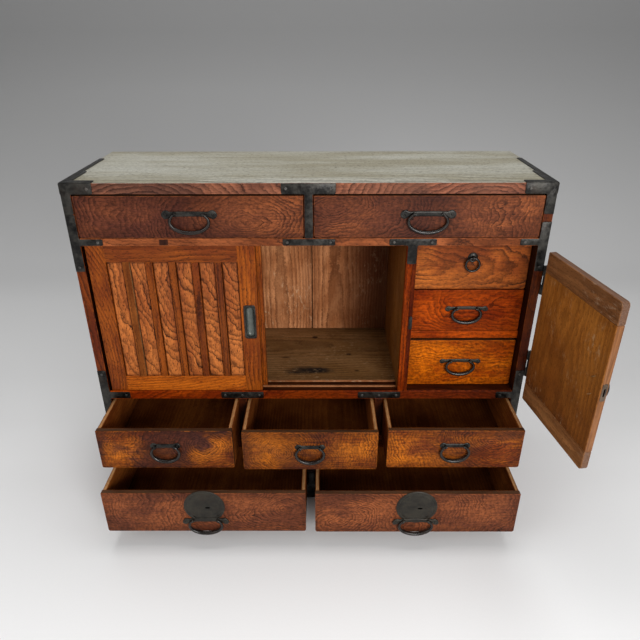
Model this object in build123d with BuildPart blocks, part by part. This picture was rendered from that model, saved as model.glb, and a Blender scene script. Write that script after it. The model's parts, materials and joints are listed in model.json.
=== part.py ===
from build123d import *

import os
from collections import namedtuple
from math import atan2, cos, degrees, radians, sin

# A low tansu chest. Millimetres, +Z up, +X to the right, the front faces -Y.
# The origin is on the floor, under the middle of the case.

# Case
case_width = 909
case_depth = 303
side_thickness = 18
top_thickness = 20
back_thickness = 8
plank_count = 8
divider_thickness = 17.5
bay_divider_thickness = 20
edge_ease = 0.8

# Heights of the layers of the front, from the floor up
base_height = 41
bottom_board_thickness = 18
base_rail_thickness = 18
bottom_row_height = 111
drawer_rail_height = 34
drawer_rail_depth = 40
dust_board_thickness = 12
middle_row_height = 100
lower_shelf_thickness = 20
bay_height = 331
upper_shelf_thickness = 15
top_row_height = 85

# Bay of small drawers behind the hinged door
bay_divider_x = 198
small_recess = 25
small_lower_height = 117
small_rail_height = 17
small_middle_height = 95
small_shelf_thickness = 10

# Drawers
front_thickness = 15
drawer_side_thickness = 8
drawer_back_thickness = 9
drawer_bottom_thickness = 7
drawer_bottom_lift = 3
drawer_rear_gap = 7
drawer_side_gap = 1.3
box_inset = 0.5
run_gap = 0.3
front_lift = 1.2
lip_gap = 3
side_drop = 2
back_drop = 8
top_head_gap = 2
middle_head_gap = 4
bottom_head_gap = 3
small_head_gap = 2
small_lower_head_gap = 6
middle_pulls = (109, 114, 108)
bottom_pulls = (144, 146)

# Bail handles: eyes on a plate, a bail whose end pins turn in the eyes
plate_thickness = 1.5
plate_height = 13
lobe_radius = 9
eye_reach = 6
eye_radius = 4
eye_width = 4
eye_gap = 0.4
pin_radius = 1.8
pin_clearance = 0.08
bail_radius = 2.5
curl_radius = 5.5
bowl_share = 0.7
shoulder_share = 0.55

top_eye_span = 54
top_bail_width = 78
top_bail_drop = 38
top_plate_width = 104
top_eye_drop = 35

small_eye_span = 42
small_bail_width = 64
small_bail_drop = 34
small_plate_width = 88
small_middle_eye_drop = 40
small_lower_eye_drop = 49

middle_eye_span = 40
middle_bail_width = 62
middle_bail_drop = 39
middle_plate_width = 62
middle_eye_drop = 37

bottom_eye_span = 53
bottom_bail_width = 74
bottom_bail_drop = 38
bottom_plate_width = 98
bottom_eye_drop = 71

# Round lock plates of the bottom drawers
lock_radius = 43
lock_thickness = 2
lock_drop = 36
lock_margin = 0.5
keyhole_radius = 2.5
keyhole_length = 9

# Ring pull of the top small drawer
ring_radius = 13.5
ring_wire_radius = 2.2
ring_eye_drop = 31
ring_plate_radius = 10
ring_clearance = 0.5

# Sliding doors
sliding_thickness = 15
track_lip = 4.2
track_side_gap = 0.6
track_depth = 3.5
head_track_depth = 9
head_engagement = 4
sliding_overlap = 30
sliding_frame_width = 35
mullion_width = 16
mullion_count = 5
panel_thickness = 8
panel_recess = 1.5
panel_chamfer = 3.5
front_door_rest = 4.5
rear_door_rest = 13.5

# Finger pulls let into the sliding doors
pull_width = 24
pull_height = 76
pull_rim_thickness = 1.5
pull_rim_width = 3
pull_wall = 1.2
pull_depth = 8
pull_corner = 4
pull_fit = 0.2

# Hinged door
door_thickness = 14
door_side_gap = 1.2
door_head_gap = 1.8
door_proud = 0.3
batten_height = 40
batten_setback = 1
door_corner = 6
door_open_angle = 98.4

# Hinges of the hinged door: the pin stands off the corner of the case
pin_offset_x = 5.8
pin_offset_y = 2.65
hinge_height = 60
hinge_offset = 95
hinge_leaf_thickness = 1.6
case_leaf_length = 34
door_leaf_length = 42
knuckle_radius = 4
knuckle_height = 19
knuckle_gap = 0.4
hinge_pin_radius = 1.9

# Lock of the hinged door
door_lock_radius = 24
door_lock_thickness = 5
door_lock_round = 3
door_lock_inset = 27
edge_plate_width = 9
edge_plate_height = 34
edge_plate_thickness = 0.8

# Irons of the case
iron_thickness = 1.5
iron_margin = 1
iron_corner = 3
top_arm = 41
rail_arms = {-1: 44, 1: 35}
centre_arm = 50
bay_arm = 45
lower_arm = 46
rail_iron_height = 16
corner_leg = 52
corner_break = 58
corner_gaps = {-1: 0, 1: 15}
bay_leg = 37
side_return = 46
lid_return = 96
edge_strip_width = 11
edge_strip_length = 220
strike_width = 7
strike_height = 30
nail_radius = 2.8
nail_height = 1.4
nail_round = 0.9
nail_inset = 9

# One overrun for all cuts
overrun = 5

# Places worked out from the sizes above
front = -case_depth / 2
back = case_depth / 2
inner_back = back - back_thickness
outer_x = case_width / 2
inner_x = outer_x - side_thickness
bottom_level = base_height
bottom_ceiling = bottom_level + bottom_row_height
middle_level = bottom_ceiling + drawer_rail_height
middle_ceiling = middle_level + middle_row_height
bay_level = middle_ceiling + lower_shelf_thickness
bay_ceiling = bay_level + bay_height
top_level = bay_ceiling + upper_shelf_thickness
top_ceiling = top_level + top_row_height
case_height = top_ceiling + top_thickness
bay_left = bay_divider_x - bay_divider_thickness / 2
bay_right = bay_divider_x + bay_divider_thickness / 2
middle_width = (2 * inner_x - 2 * divider_thickness) / 3
middle_divider_x = (middle_width + divider_thickness) / 2
bay_middle = (bay_level + bay_ceiling) / 2

Handle = namedtuple("Handle", "eye_span bail_width bail_drop plate_width eye_drop")
Drawer = namedtuple("Drawer", "name x_span floor front_span box_top recess pull handle")


def board(x_span, y_span, z_span, plane=Plane.XY, ease=edge_ease):
    """A plain board between three pairs of limits, with its edges eased."""
    with BuildPart() as made:
        with BuildSketch(plane.offset(z_span[0])):
            with Locations((sum(x_span) / 2, sum(y_span) / 2)):
                Rectangle(x_span[1] - x_span[0], y_span[1] - y_span[0])
        extrude(amount=z_span[1] - z_span[0])
        if ease:
            fillet(made.edges(), ease)
    return made.part


def plain(x_span, y_span, z_span, plane=Plane.XY):
    """A board or plate with sharp edges."""
    return board(x_span, y_span, z_span, plane, 0)


def centred(middle, size):
    """The two limits of a size that lies evenly about a middle."""
    return (middle - size / 2, middle + size / 2)


def facing(y):
    """The upright plane at y that looks out of the front: its own axes are +X and +Z."""
    return Plane(origin=(0, y, 0), x_dir=(1, 0, 0), z_dir=(0, -1, 0))


def keep(label, *pieces):
    """Write the pieces of one node to its own file."""
    solids = [solid for piece in pieces for solid in piece.solids()]
    node = solids[0] if len(solids) == 1 else Compound(solids)
    node.label = label
    export_step(node, f"parts/{label}.step")


def build_case():
    """The boards of the case."""
    depth_span = (front, inner_back)
    keep("top_panel", board((-outer_x, outer_x), (front, back), (top_ceiling, case_height)))
    keep("left_side", board((-outer_x, -inner_x), (front, back), (0, top_ceiling)))
    keep("right_side", board((inner_x, outer_x), (front, back), (0, top_ceiling)))

    bottom_under = base_height - bottom_board_thickness
    bottom_board = board((-inner_x, inner_x), depth_span, (bottom_under, base_height))
    rail_middles = (
        front + base_rail_thickness / 2,
        0,
        inner_back - base_rail_thickness / 2,
    )
    rails = [
        board((-inner_x, inner_x), centred(y, base_rail_thickness), (0, bottom_under))
        for y in rail_middles
    ]
    keep("base_frame", bottom_board, *rails)

    plank_width = 2 * inner_x / plank_count
    planks = []
    for index in range(plank_count):
        left = -inner_x + index * plank_width
        planks.append(board((left, left + plank_width), (inner_back, back), (0, top_ceiling)))
    keep("back_planks", *planks)

    rail = board(
        (-inner_x, inner_x), (front, front + drawer_rail_depth), (bottom_ceiling, middle_level)
    )
    dust_board = board(
        (-inner_x, inner_x),
        (front + drawer_rail_depth, inner_back),
        (middle_level - dust_board_thickness, middle_level),
    )
    keep("drawer_shelf", rail, dust_board)

    top_divider = board(centred(0, divider_thickness), depth_span, (top_level, top_ceiling))
    bay_divider = board(
        centred(bay_divider_x, bay_divider_thickness), depth_span, (bay_level, bay_ceiling)
    )
    middle_dividers = [
        board(centred(x, divider_thickness), depth_span, (middle_level, middle_ceiling))
        for x in (-middle_divider_x, middle_divider_x)
    ]
    bottom_divider = board(
        centred(0, divider_thickness), depth_span, (bottom_level, bottom_ceiling)
    )
    keep("uprights", top_divider, bay_divider, *middle_dividers, bottom_divider)

    lip_middle = small_split()
    behind_fronts = front + small_recess + front_thickness + run_gap
    upper = board(
        (bay_right, inner_x),
        (behind_fronts, inner_back),
        centred(lip_middle, small_shelf_thickness),
    )
    lower = board(
        (bay_right, inner_x),
        (front + small_recess, inner_back),
        (bay_level + small_lower_height, small_rail_top()),
    )
    keep("small_drawer_shelves", upper, lower)


def small_rail_top():
    """Top of the shelf that shows as a rail between the lower two small drawers."""
    return bay_level + small_lower_height + small_rail_height


def small_split():
    """Height at which the fronts of the upper two small drawers meet."""
    return small_rail_top() + small_middle_height


def track_spans():
    """Limits in depth of the front and the rear sliding door's track."""
    track_width = sliding_thickness + 2 * track_side_gap
    first = front + track_lip
    second = first + track_width + track_lip
    return ((first, first + track_width), (second, second + track_width))


def grooved_shelf(label, z_span, groove_span):
    """A shelf with two tracks for the sliding doors cut along the sliding bay."""
    with BuildPart() as shelf:
        add(board((-inner_x, inner_x), (front, inner_back), z_span))
        for y_span in track_spans():
            add(plain((-inner_x - overrun, bay_left), y_span, groove_span), mode=Mode.SUBTRACT)
    keep(label, shelf.part)


def build_shelves():
    """The two shelves that the sliding doors run between."""
    lower_groove = (bay_level - track_depth, bay_level + overrun)
    grooved_shelf("lower_shelf", (middle_ceiling, bay_level), lower_groove)
    upper_groove = (bay_ceiling - overrun, bay_ceiling + head_track_depth)
    grooved_shelf("upper_shelf", (bay_ceiling, top_level), upper_groove)


def build_sliding_door(label, pull_label, left, y_low, pull_side):
    """A framed sliding door with raised strips between mullions, and a finger pull in one stile."""
    width = (bay_left + inner_x + sliding_overlap) / 2
    right = left + width
    y_span = (y_low, y_low + sliding_thickness)
    bottom = bay_level - track_depth + run_gap
    top = bay_ceiling + head_engagement
    rail_tops = (bay_level + sliding_frame_width, bay_ceiling - sliding_frame_width)
    stiles = {-1: (left, left + sliding_frame_width), 1: (right - sliding_frame_width, right)}
    pull_x = sum(stiles[pull_side]) / 2
    pocket_width = pull_width - 2 * pull_rim_width
    pocket_height = pull_height - 2 * pull_rim_width

    plain_stile = board(stiles[-pull_side], y_span, (bottom, top))
    with BuildPart() as pull_stile:
        add(board(stiles[pull_side], y_span, (bottom, top)))
        with BuildSketch(facing(y_low)):
            with Locations((pull_x, bay_middle)):
                Rectangle(pocket_width + pull_fit, pocket_height + pull_fit)
        extrude(amount=-(pull_depth + pull_fit), mode=Mode.SUBTRACT)

    inner_span = (left + sliding_frame_width, right - sliding_frame_width)
    bottom_rail = board(inner_span, y_span, (bottom, rail_tops[0]))
    top_rail = board(inner_span, y_span, (rail_tops[1], top))
    inner_width = inner_span[1] - inner_span[0]
    strip_width = (inner_width - mullion_count * mullion_width) / (mullion_count + 1)
    mullions = []
    strips = []
    for index in range(mullion_count + 1):
        strip_left = inner_span[0] + index * (strip_width + mullion_width)
        strip_right = strip_left + strip_width
        strips.append(raised_strip((strip_left, strip_right), y_low + panel_recess, rail_tops))
        if index < mullion_count:
            mullion_span = (strip_right, strip_right + mullion_width)
            mullions.append(board(mullion_span, y_span, rail_tops))
    keep(label, plain_stile, pull_stile.part, bottom_rail, top_rail, *mullions, *strips)
    keep(pull_label, finger_pull(pull_x, y_low, pocket_width, pocket_height))


def raised_strip(x_span, y_low, z_span):
    """One panel strip, chamfered round its front face."""
    with BuildPart() as strip:
        add(plain(x_span, (y_low, y_low + panel_thickness), z_span))
        chamfer(strip.faces().sort_by(Axis.Y)[0].edges(), panel_chamfer)
    return strip.part


def finger_pull(x, y_low, cup_width, cup_height):
    """An iron finger pull: a rim on the stile and a cup let into it."""
    with BuildPart() as pull:
        with BuildSketch(facing(y_low)):
            with Locations((x, bay_middle)):
                RectangleRounded(pull_width, pull_height, pull_corner)
        extrude(amount=pull_rim_thickness)
        with BuildSketch(facing(y_low)):
            with Locations((x, bay_middle)):
                Rectangle(cup_width, cup_height)
        extrude(amount=-pull_depth)
        with BuildSketch(facing(y_low - pull_rim_thickness)):
            with Locations((x, bay_middle)):
                Rectangle(cup_width - 2 * pull_wall, cup_height - 2 * pull_wall)
        extrude(amount=-(pull_depth + pull_rim_thickness - pull_wall), mode=Mode.SUBTRACT)
    return pull.part


def build_hinged_door():
    """The hinged door, its lock and its hinges, standing open at its photographed angle."""
    pin_x = outer_x + pin_offset_x
    pin_y = front - pin_offset_y
    turn = radians(door_open_angle)
    swung = Plane(origin=(pin_x, pin_y, 0), x_dir=(cos(turn), sin(turn), 0), z_dir=(0, 0, 1))

    # Limits of the closed door, counted from the pin
    x_span = (bay_right + door_side_gap - pin_x, inner_x - door_side_gap - pin_x)
    outside = pin_offset_y - door_proud
    y_span = (outside, outside + door_thickness)
    bottom = bay_level + door_head_gap
    top = bay_ceiling - door_head_gap
    batten_y = (outside, outside + door_thickness - batten_setback)
    panel = board(x_span, y_span, (bottom + batten_height, top - batten_height), swung)
    lower_batten = rounded_batten(x_span, batten_y, (bottom, bottom + batten_height), swung, bottom)
    upper_batten = rounded_batten(x_span, batten_y, (top - batten_height, top), swung, top)
    keep("hinged_door", panel, lower_batten, upper_batten)

    # Round lock plate outside, and the plate that its bolt passes on the free edge
    lock_plane = Plane(
        origin=swung.from_local_coords((x_span[0] + door_lock_inset, outside, bay_middle)),
        x_dir=swung.x_dir,
        z_dir=-swung.y_dir,
    )
    with BuildPart() as lock_plate:
        with BuildSketch(lock_plane):
            Circle(door_lock_radius)
            SlotOverall(keyhole_length, 2 * keyhole_radius, rotation=90, mode=Mode.SUBTRACT)
        extrude(amount=door_lock_thickness)
        rims = lock_plate.edges().filter_by(GeomType.CIRCLE).filter_by(
            lambda edge: edge.radius > keyhole_length
        )
        fillet(rims.sort_by(Axis(lock_plane.origin, lock_plane.z_dir))[-1], door_lock_round)
    edge_plate = plain(
        (x_span[0] - edge_plate_thickness, x_span[0]),
        centred(outside + door_thickness / 2, edge_plate_width),
        centred(bay_middle, edge_plate_height),
        swung,
    )
    keep("hinged_door_lock", lock_plate.part, edge_plate)

    middles = (bay_middle - hinge_offset, bay_middle + hinge_offset)
    keep("hinged_door_leaves", *[door_leaf(swung, x_span[1], outside, z) for z in middles])
    keep("case_hinge_leaves", *[case_leaf(pin_x, pin_y, z) for z in middles])


def rounded_batten(x_span, y_span, z_span, swung, corner_z):
    """A batten of the hinged door, with its corner at the free edge rounded."""
    corner = swung.from_local_coords((x_span[0], sum(y_span) / 2, corner_z))
    with BuildPart() as batten:
        add(plain(x_span, y_span, z_span, swung))
        across = batten.edges().filter_by(Axis(swung.origin, swung.y_dir))
        fillet(across.sort_by(lambda edge: (edge.center() - corner).length)[0], door_corner)
    return batten.part


def door_leaf(swung, door_edge, outside, middle):
    """Hinge leaf on the outside of the door, with the middle knuckle on the pin."""
    leaf_y = (outside - hinge_leaf_thickness, outside)
    with BuildPart() as leaf:
        leaf_x = (door_edge - door_leaf_length, door_edge)
        add(plain(leaf_x, leaf_y, centred(middle, hinge_height), swung))
        add(plain((door_edge, 0), leaf_y, centred(middle, knuckle_height), swung))
        with BuildSketch(swung.offset(middle - knuckle_height / 2)):
            Circle(knuckle_radius)
        extrude(amount=knuckle_height)
        with BuildSketch(swung.offset(middle - knuckle_height)):
            Circle(hinge_pin_radius + pin_clearance)
        extrude(amount=2 * knuckle_height, mode=Mode.SUBTRACT)
    return leaf.part


def case_leaf(pin_x, pin_y, middle):
    """Hinge leaf on the side of the case, with the end knuckles and the pin."""
    leaf_x = (outer_x, outer_x + hinge_leaf_thickness)
    end_height = (hinge_height - knuckle_height) / 2 - knuckle_gap
    ends = (middle - hinge_height / 2, middle + hinge_height / 2 - end_height)
    with BuildPart() as leaf:
        add(plain(leaf_x, (front, front + case_leaf_length), centred(middle, hinge_height)))
        for low in ends:
            add(plain(leaf_x, (pin_y, front), (low, low + end_height)))
            add(plain((outer_x, pin_x), centred(pin_y, hinge_leaf_thickness), (low, low + end_height)))
            with BuildSketch(Plane.XY.offset(low)):
                with Locations((pin_x, pin_y)):
                    Circle(knuckle_radius)
            extrude(amount=end_height)
        with BuildSketch(Plane.XY.offset(middle - hinge_height / 2)):
            with Locations((pin_x, pin_y)):
                Circle(hinge_pin_radius)
        extrude(amount=hinge_height)
    return leaf.part


def drawer_list():
    """Every drawer with its place, its pull at rest and its handle."""
    top_handle = Handle(
        top_eye_span, top_bail_width, top_bail_drop, top_plate_width, top_eye_drop
    )
    middle_handle = Handle(
        middle_eye_span, middle_bail_width, middle_bail_drop, middle_plate_width, middle_eye_drop
    )
    bottom_handle = Handle(
        bottom_eye_span, bottom_bail_width, bottom_bail_drop, bottom_plate_width, bottom_eye_drop
    )
    small_middle_handle = Handle(
        small_eye_span, small_bail_width, small_bail_drop, small_plate_width, small_middle_eye_drop
    )
    small_lower_handle = small_middle_handle._replace(eye_drop=small_lower_eye_drop)

    half = divider_thickness / 2
    halves = {"left": (-inner_x, -half), "right": (half, inner_x)}
    drawers = []
    for side, x_span in halves.items():
        front_span = (top_level + front_lift, top_ceiling - top_head_gap)
        drawers.append(
            Drawer(f"top_{side}", x_span, top_level, front_span, front_span[1], 0, 0, top_handle)
        )
    for (side, x_span), pull in zip(halves.items(), bottom_pulls):
        front_span = (bottom_level + front_lift, bottom_ceiling - bottom_head_gap)
        drawers.append(
            Drawer(
                f"bottom_{side}", x_span, bottom_level, front_span, front_span[1], 0, pull, bottom_handle
            )
        )
    pitch = middle_width + divider_thickness
    for index, side in enumerate(("left", "centre", "right")):
        left = -inner_x + index * pitch
        front_span = (middle_level + front_lift, middle_ceiling - middle_head_gap)
        drawers.append(
            Drawer(
                f"middle_{side}",
                (left, left + middle_width),
                middle_level,
                front_span,
                front_span[1],
                0,
                middle_pulls[index],
                middle_handle,
            )
        )

    small_x = (bay_right, inner_x)
    split = small_split()
    half_shelf = small_shelf_thickness / 2
    rail_under = bay_level + small_lower_height
    lower_span = (bay_level + front_lift, rail_under - small_lower_head_gap)
    middle_span = (small_rail_top() + front_lift, split - lip_gap / 2)
    upper_span = (split + lip_gap / 2, bay_ceiling - small_head_gap)
    drawers.append(
        Drawer(
            "small_lower",
            small_x,
            bay_level,
            lower_span,
            lower_span[1],
            small_recess,
            0,
            small_lower_handle,
        )
    )
    drawers.append(
        Drawer(
            "small_middle",
            small_x,
            small_rail_top(),
            middle_span,
            split - half_shelf - small_head_gap,
            small_recess,
            0,
            small_middle_handle,
        )
    )
    drawers.append(
        Drawer(
            "small_upper", small_x, split + half_shelf, upper_span, upper_span[1], small_recess, 0, None
        )
    )
    return drawers


def build_drawer(drawer):
    """A drawer: its front board, its box of four boards, and its handle."""
    face = front + drawer.recess - drawer.pull
    behind = face + front_thickness
    tail = inner_back - drawer_rear_gap - drawer.pull
    x_span = (drawer.x_span[0] + drawer_side_gap, drawer.x_span[1] - drawer_side_gap)
    keep(f"{drawer.name}_drawer_front", board(x_span, (face, behind), drawer.front_span))

    box_x = (x_span[0] + box_inset, x_span[1] - box_inset)
    inside_x = (box_x[0] + drawer_side_thickness, box_x[1] - drawer_side_thickness)
    low = drawer.floor + run_gap
    side_top = drawer.box_top - side_drop
    sides = [
        board((box_x[0], inside_x[0]), (behind, tail), (low, side_top)),
        board((inside_x[1], box_x[1]), (behind, tail), (low, side_top)),
    ]
    bottom_span = (low + drawer_bottom_lift, low + drawer_bottom_lift + drawer_bottom_thickness)
    bottom = board(inside_x, (behind, tail), bottom_span)
    rear = board(inside_x, (tail - drawer_back_thickness, tail), (bottom_span[1], side_top - back_drop))
    keep(f"{drawer.name}_drawer_box", *sides, bottom, rear)

    middle_x = sum(x_span) / 2
    if drawer.handle is None:
        build_ring_pull(drawer.name, middle_x, face, drawer.front_span[1] - ring_eye_drop)
        return
    eye_z = drawer.front_span[1] - drawer.handle.eye_drop
    plates = handle_plate(drawer.handle, middle_x, face, eye_z)
    if drawer.name.startswith("bottom"):
        plates.append(lock_plate(middle_x, face, drawer.front_span[1], eye_z))
    keep(f"{drawer.name}_handle_plate", *plates)
    keep(f"{drawer.name}_bail", bail(drawer.handle, middle_x, face - eye_reach, eye_z))


def eye(x, face, z, width, hole_radius):
    """One eye: a tongue that stands out of the front, with a hole along X at its end."""
    tongue_length = eye_reach - plate_thickness
    with BuildPart() as tongue:
        with BuildSketch(Plane.YZ.offset(x - width / 2)):
            with Locations((face - eye_reach, z)):
                Circle(eye_radius)
            with Locations((face - plate_thickness - tongue_length / 2, z)):
                Rectangle(tongue_length, 2 * eye_radius)
            with Locations((face - eye_reach, z)):
                Circle(hole_radius, mode=Mode.SUBTRACT)
        extrude(amount=width)
    return tongue.part


def handle_plate(handle, x, face, z):
    """A handle's back plate with lobed ends, and its two eyes."""
    with BuildPart() as plate:
        with BuildSketch(facing(face)):
            with Locations((x, z)):
                Rectangle(handle.plate_width - 2 * lobe_radius, plate_height)
            for side in (-1, 1):
                with Locations((x + side * (handle.plate_width / 2 - lobe_radius), z)):
                    Circle(lobe_radius)
        extrude(amount=plate_thickness)
    half = handle.eye_span / 2
    hole_radius = pin_radius + pin_clearance
    eyes = [eye(x + side * half, face, z, eye_width, hole_radius) for side in (-1, 1)]
    return [plate.part, *eyes]


def bail(handle, x, y, z):
    """A bail: a round bar that curls out of the eyes, over its shoulders and across its foot."""
    shoulder_x = handle.eye_span / 2 + eye_width / 2 + eye_gap
    half_width = handle.bail_width / 2 - bail_radius
    drop = handle.bail_drop - bail_radius
    shoulder_radius = shoulder_share * half_width
    # Radius of the foot that is tangent to both shoulder arcs
    bowl = bowl_share * half_width
    across = half_width - shoulder_radius
    foot_radius = (across**2 + bowl**2 - shoulder_radius**2) / (2 * (bowl - shoulder_radius))
    curl_z = z - curl_radius
    shoulder_z = z - drop + bowl
    foot_z = z - drop + foot_radius
    lean = degrees(atan2(shoulder_z - foot_z, across))
    pin_length = eye_width + 2 * eye_gap + curl_radius / 2
    hanging = facing(y)
    with BuildPart() as bar:
        with BuildLine(hanging):
            start = (x + shoulder_x, z)
            turn = (x + half_width - curl_radius, z)
            Line(start, turn)
            CenterArc((turn[0], curl_z), curl_radius, 90, -90)
            Line((x + half_width, curl_z), (x + half_width, shoulder_z))
            CenterArc((x + across, shoulder_z), shoulder_radius, 0, lean)
            CenterArc((x, foot_z), foot_radius, lean, -180 - 2 * lean)
            CenterArc((x - across, shoulder_z), shoulder_radius, 180 - lean, lean)
            Line((x - half_width, shoulder_z), (x - half_width, curl_z))
            CenterArc((x - half_width + curl_radius, curl_z), curl_radius, 180, -90)
            Line((x - half_width + curl_radius, z), (x - shoulder_x, z))
        with BuildSketch(Plane.YZ.offset(x + shoulder_x)):
            with Locations((y, z)):
                Circle(bail_radius)
        sweep()
        for side in (-1, 1):
            inner = x + side * (shoulder_x - eye_width - 2 * eye_gap)
            with BuildSketch(Plane(origin=(inner, y, z), x_dir=(0, 1, 0), z_dir=(side, 0, 0))):
                Circle(pin_radius)
            extrude(amount=pin_length)
    return bar.part


def lock_plate(x, face, front_top, eye_z):
    """A round lock plate that stands above the front, cut out round the handle's plate."""
    centre_z = front_top - lock_drop
    low = eye_z + plate_height / 2 + lock_margin
    high = centre_z + lock_radius + overrun
    lobe_x = bottom_plate_width / 2 - lobe_radius
    with BuildPart() as plate:
        with BuildSketch(facing(face)):
            with Locations((x, centre_z)):
                Circle(lock_radius)
            with Locations((x, (low + high) / 2)):
                Rectangle(2 * lock_radius + overrun, high - low, mode=Mode.INTERSECT)
            with Locations((x - lobe_x, eye_z), (x + lobe_x, eye_z)):
                Circle(lobe_radius + lock_margin, mode=Mode.SUBTRACT)
            with Locations((x, centre_z)):
                SlotOverall(keyhole_length, 2 * keyhole_radius, rotation=90, mode=Mode.SUBTRACT)
        extrude(amount=lock_thickness)
    return plate.part


def build_ring_pull(name, x, face, z):
    """A round rosette with an eye, and the ring that hangs in it."""
    with BuildPart() as rosette:
        with BuildSketch(facing(face)):
            with Locations((x, z)):
                Circle(ring_plate_radius)
        extrude(amount=plate_thickness)
    hole_radius = ring_wire_radius + ring_clearance
    keep(f"{name}_handle_plate", rosette.part, eye(x, face, z, eye_width, hole_radius))

    y = face - eye_reach
    with BuildPart() as ring:
        with BuildSketch(Plane.YZ.offset(x)):
            with Locations((y, z)):
                Circle(ring_wire_radius)
        revolve(axis=Axis((x, y, z - ring_radius), (0, 1, 0)))
    keep(f"{name}_bail", ring.part)


def strap(*rectangles, plane=facing(front)):
    """One flat iron made of joined rectangles, each given by its limits along and up."""
    with BuildPart() as iron:
        with BuildSketch(plane):
            for along, up in rectangles:
                with Locations((sum(along) / 2, sum(up) / 2)):
                    Rectangle(along[1] - along[0], up[1] - up[0])
        extrude(amount=iron_thickness)
        uprights = iron.edges().filter_by(Axis(plane.origin, plane.z_dir))
        fillet([edge for edge in uprights if not on_rim(edge.center(), plane.z_dir)], iron_corner)
    return iron.part


def on_rim(point, outward):
    """Whether a corner of an iron that looks outward lies on an edge of the case."""
    beyond = (
        outward.X == 0 and abs(point.X) > outer_x - iron_margin / 2,
        outward.Y == 0 and point.Y < front + iron_margin / 2,
        outward.Z == 0 and point.Z > case_height - iron_margin / 2,
    )
    return any(beyond)


def nails(points, plane=facing(front)):
    """Round nail heads on the face of the irons."""
    with BuildPart() as heads:
        with BuildSketch(plane.offset(iron_thickness)):
            with Locations(*points):
                Circle(nail_radius)
        extrude(amount=nail_height)
        tops = heads.edges().filter_by(GeomType.CIRCLE).group_by(Axis(plane.origin, plane.z_dir))[-1]
        fillet(tops, nail_round)
    return heads.part


def build_irons():
    """The flat irons over the joints of the case, with their nails."""
    edge = (inner_x, outer_x)
    top_edge = (top_ceiling, case_height)
    upper_rail = (bay_ceiling + iron_margin, top_level - iron_margin)
    lower_rail = centred((middle_ceiling + bay_level) / 2, rail_iron_height)
    drawer_rail = centred((bottom_ceiling + middle_level) / 2, rail_iron_height)
    divider = centred(0, divider_thickness - 2 * iron_margin)
    centre_span = centred(0, 2 * centre_arm)
    bay_span = centred(bay_divider_x, 2 * bay_arm)
    bay_edge = centred(bay_divider_x, bay_divider_thickness - 2 * iron_margin)
    strike_x = (bay_right - strike_width, bay_right)
    lower_spans = [centred(x, 2 * lower_arm) for x in (-middle_divider_x, middle_divider_x)]

    irons = [
        strap((centre_span, top_edge), (divider, (top_level, top_ceiling)), (centre_span, upper_rail)),
        strap((bay_span, upper_rail), (bay_edge, (bay_ceiling - bay_leg, bay_ceiling + iron_margin))),
        strap((strike_x, centred(bay_middle, strike_height))),
        strap((centre_span, drawer_rail), (divider, (bottom_ceiling - bay_leg, drawer_rail[1]))),
        strap((centre_span, (iron_margin, base_height)), (divider, (base_height, base_height + bay_leg))),
        *[strap((span, lower_rail)) for span in lower_spans],
    ]
    heads = []
    for span in lower_spans:
        across = (span[0] + nail_inset, sum(span) / 2, span[1] - nail_inset)
        heads += [(x, sum(lower_rail) / 2) for x in across]
    for span, level in ((centre_span, top_edge), (centre_span, upper_rail), (bay_span, upper_rail)):
        heads += [(x, sum(level) / 2) for x in (span[0] + nail_inset, span[1] - nail_inset)]

    for side in (-1, 1):
        post = sorted(side * x for x in edge)
        irons += corner_irons(side, post, top_edge, upper_rail, lower_rail, drawer_rail)
        rail_arm = rail_arms[side]
        for reach, level in ((top_arm, top_edge), (rail_arm, upper_rail), (rail_arm, lower_rail)):
            heads.append((side * (inner_x - reach + nail_inset), sum(level) / 2))
        heads.append((side * (inner_x + outer_x) / 2, bay_ceiling - corner_leg + nail_inset))
        heads.append((side * (inner_x + outer_x) / 2, bay_level + corner_leg - nail_inset))
    keep("case_irons", *irons)
    keep("case_nails", nails(heads))


def corner_irons(side, post, top_edge, upper_rail, lower_rail, drawer_rail):
    """The irons down one front corner of the case, and their returns round the edges."""
    top_reach = sorted((side * outer_x, side * (inner_x - top_arm)))
    rail_reach = sorted((side * outer_x, side * (inner_x - rail_arms[side])))
    base_edge = (iron_margin, base_height)
    break_z = case_height - corner_break
    leg_span = (bay_ceiling - corner_leg, break_z - corner_gaps[side])
    front_irons = [
        strap((top_reach, top_edge), (post, (break_z, top_ceiling))),
        strap((post, leg_span), (rail_reach, upper_rail)),
        strap((rail_reach, lower_rail), (post, (middle_ceiling - corner_leg, bay_level + corner_leg))),
        strap((rail_reach, drawer_rail)),
        strap((rail_reach, base_edge), (post, (base_height, base_height + corner_leg))),
    ]
    flank = Plane(origin=(side * outer_x, 0, 0), x_dir=(0, side, 0), z_dir=(side, 0, 0))
    flank_return = sorted((side * front, side * (front + side_return)))
    returns = [
        strap((flank_return, top_edge), plane=flank),
        strap((flank_return, base_edge), plane=flank),
    ]
    lid = Plane.XY.offset(case_height)
    lid_post = sorted((side * outer_x, side * inner_x))
    lid_strip = sorted((side * outer_x, side * (outer_x - edge_strip_width)))
    lid_iron = strap(
        (top_reach, (front, front + side_thickness)),
        (lid_post, (front, front + lid_return)),
        (lid_strip, (front, front + edge_strip_length)),
        plane=lid,
    )
    return [*front_irons, *returns, lid_iron]


os.makedirs("parts", exist_ok=True)
build_case()
build_shelves()
tracks = track_spans()
front_door = ("front_sliding_door", "front_door_pull", front_door_rest - inner_x, tracks[0], 1)
rear_door = ("rear_sliding_door", "rear_door_pull", rear_door_rest - inner_x, tracks[1], -1)
for label, pull_label, left, track, pull_side in (front_door, rear_door):
    build_sliding_door(label, pull_label, left, track[0] + track_side_gap, pull_side)
build_hinged_door()
build_irons()
for drawer in drawer_list():
    build_drawer(drawer)
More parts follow.
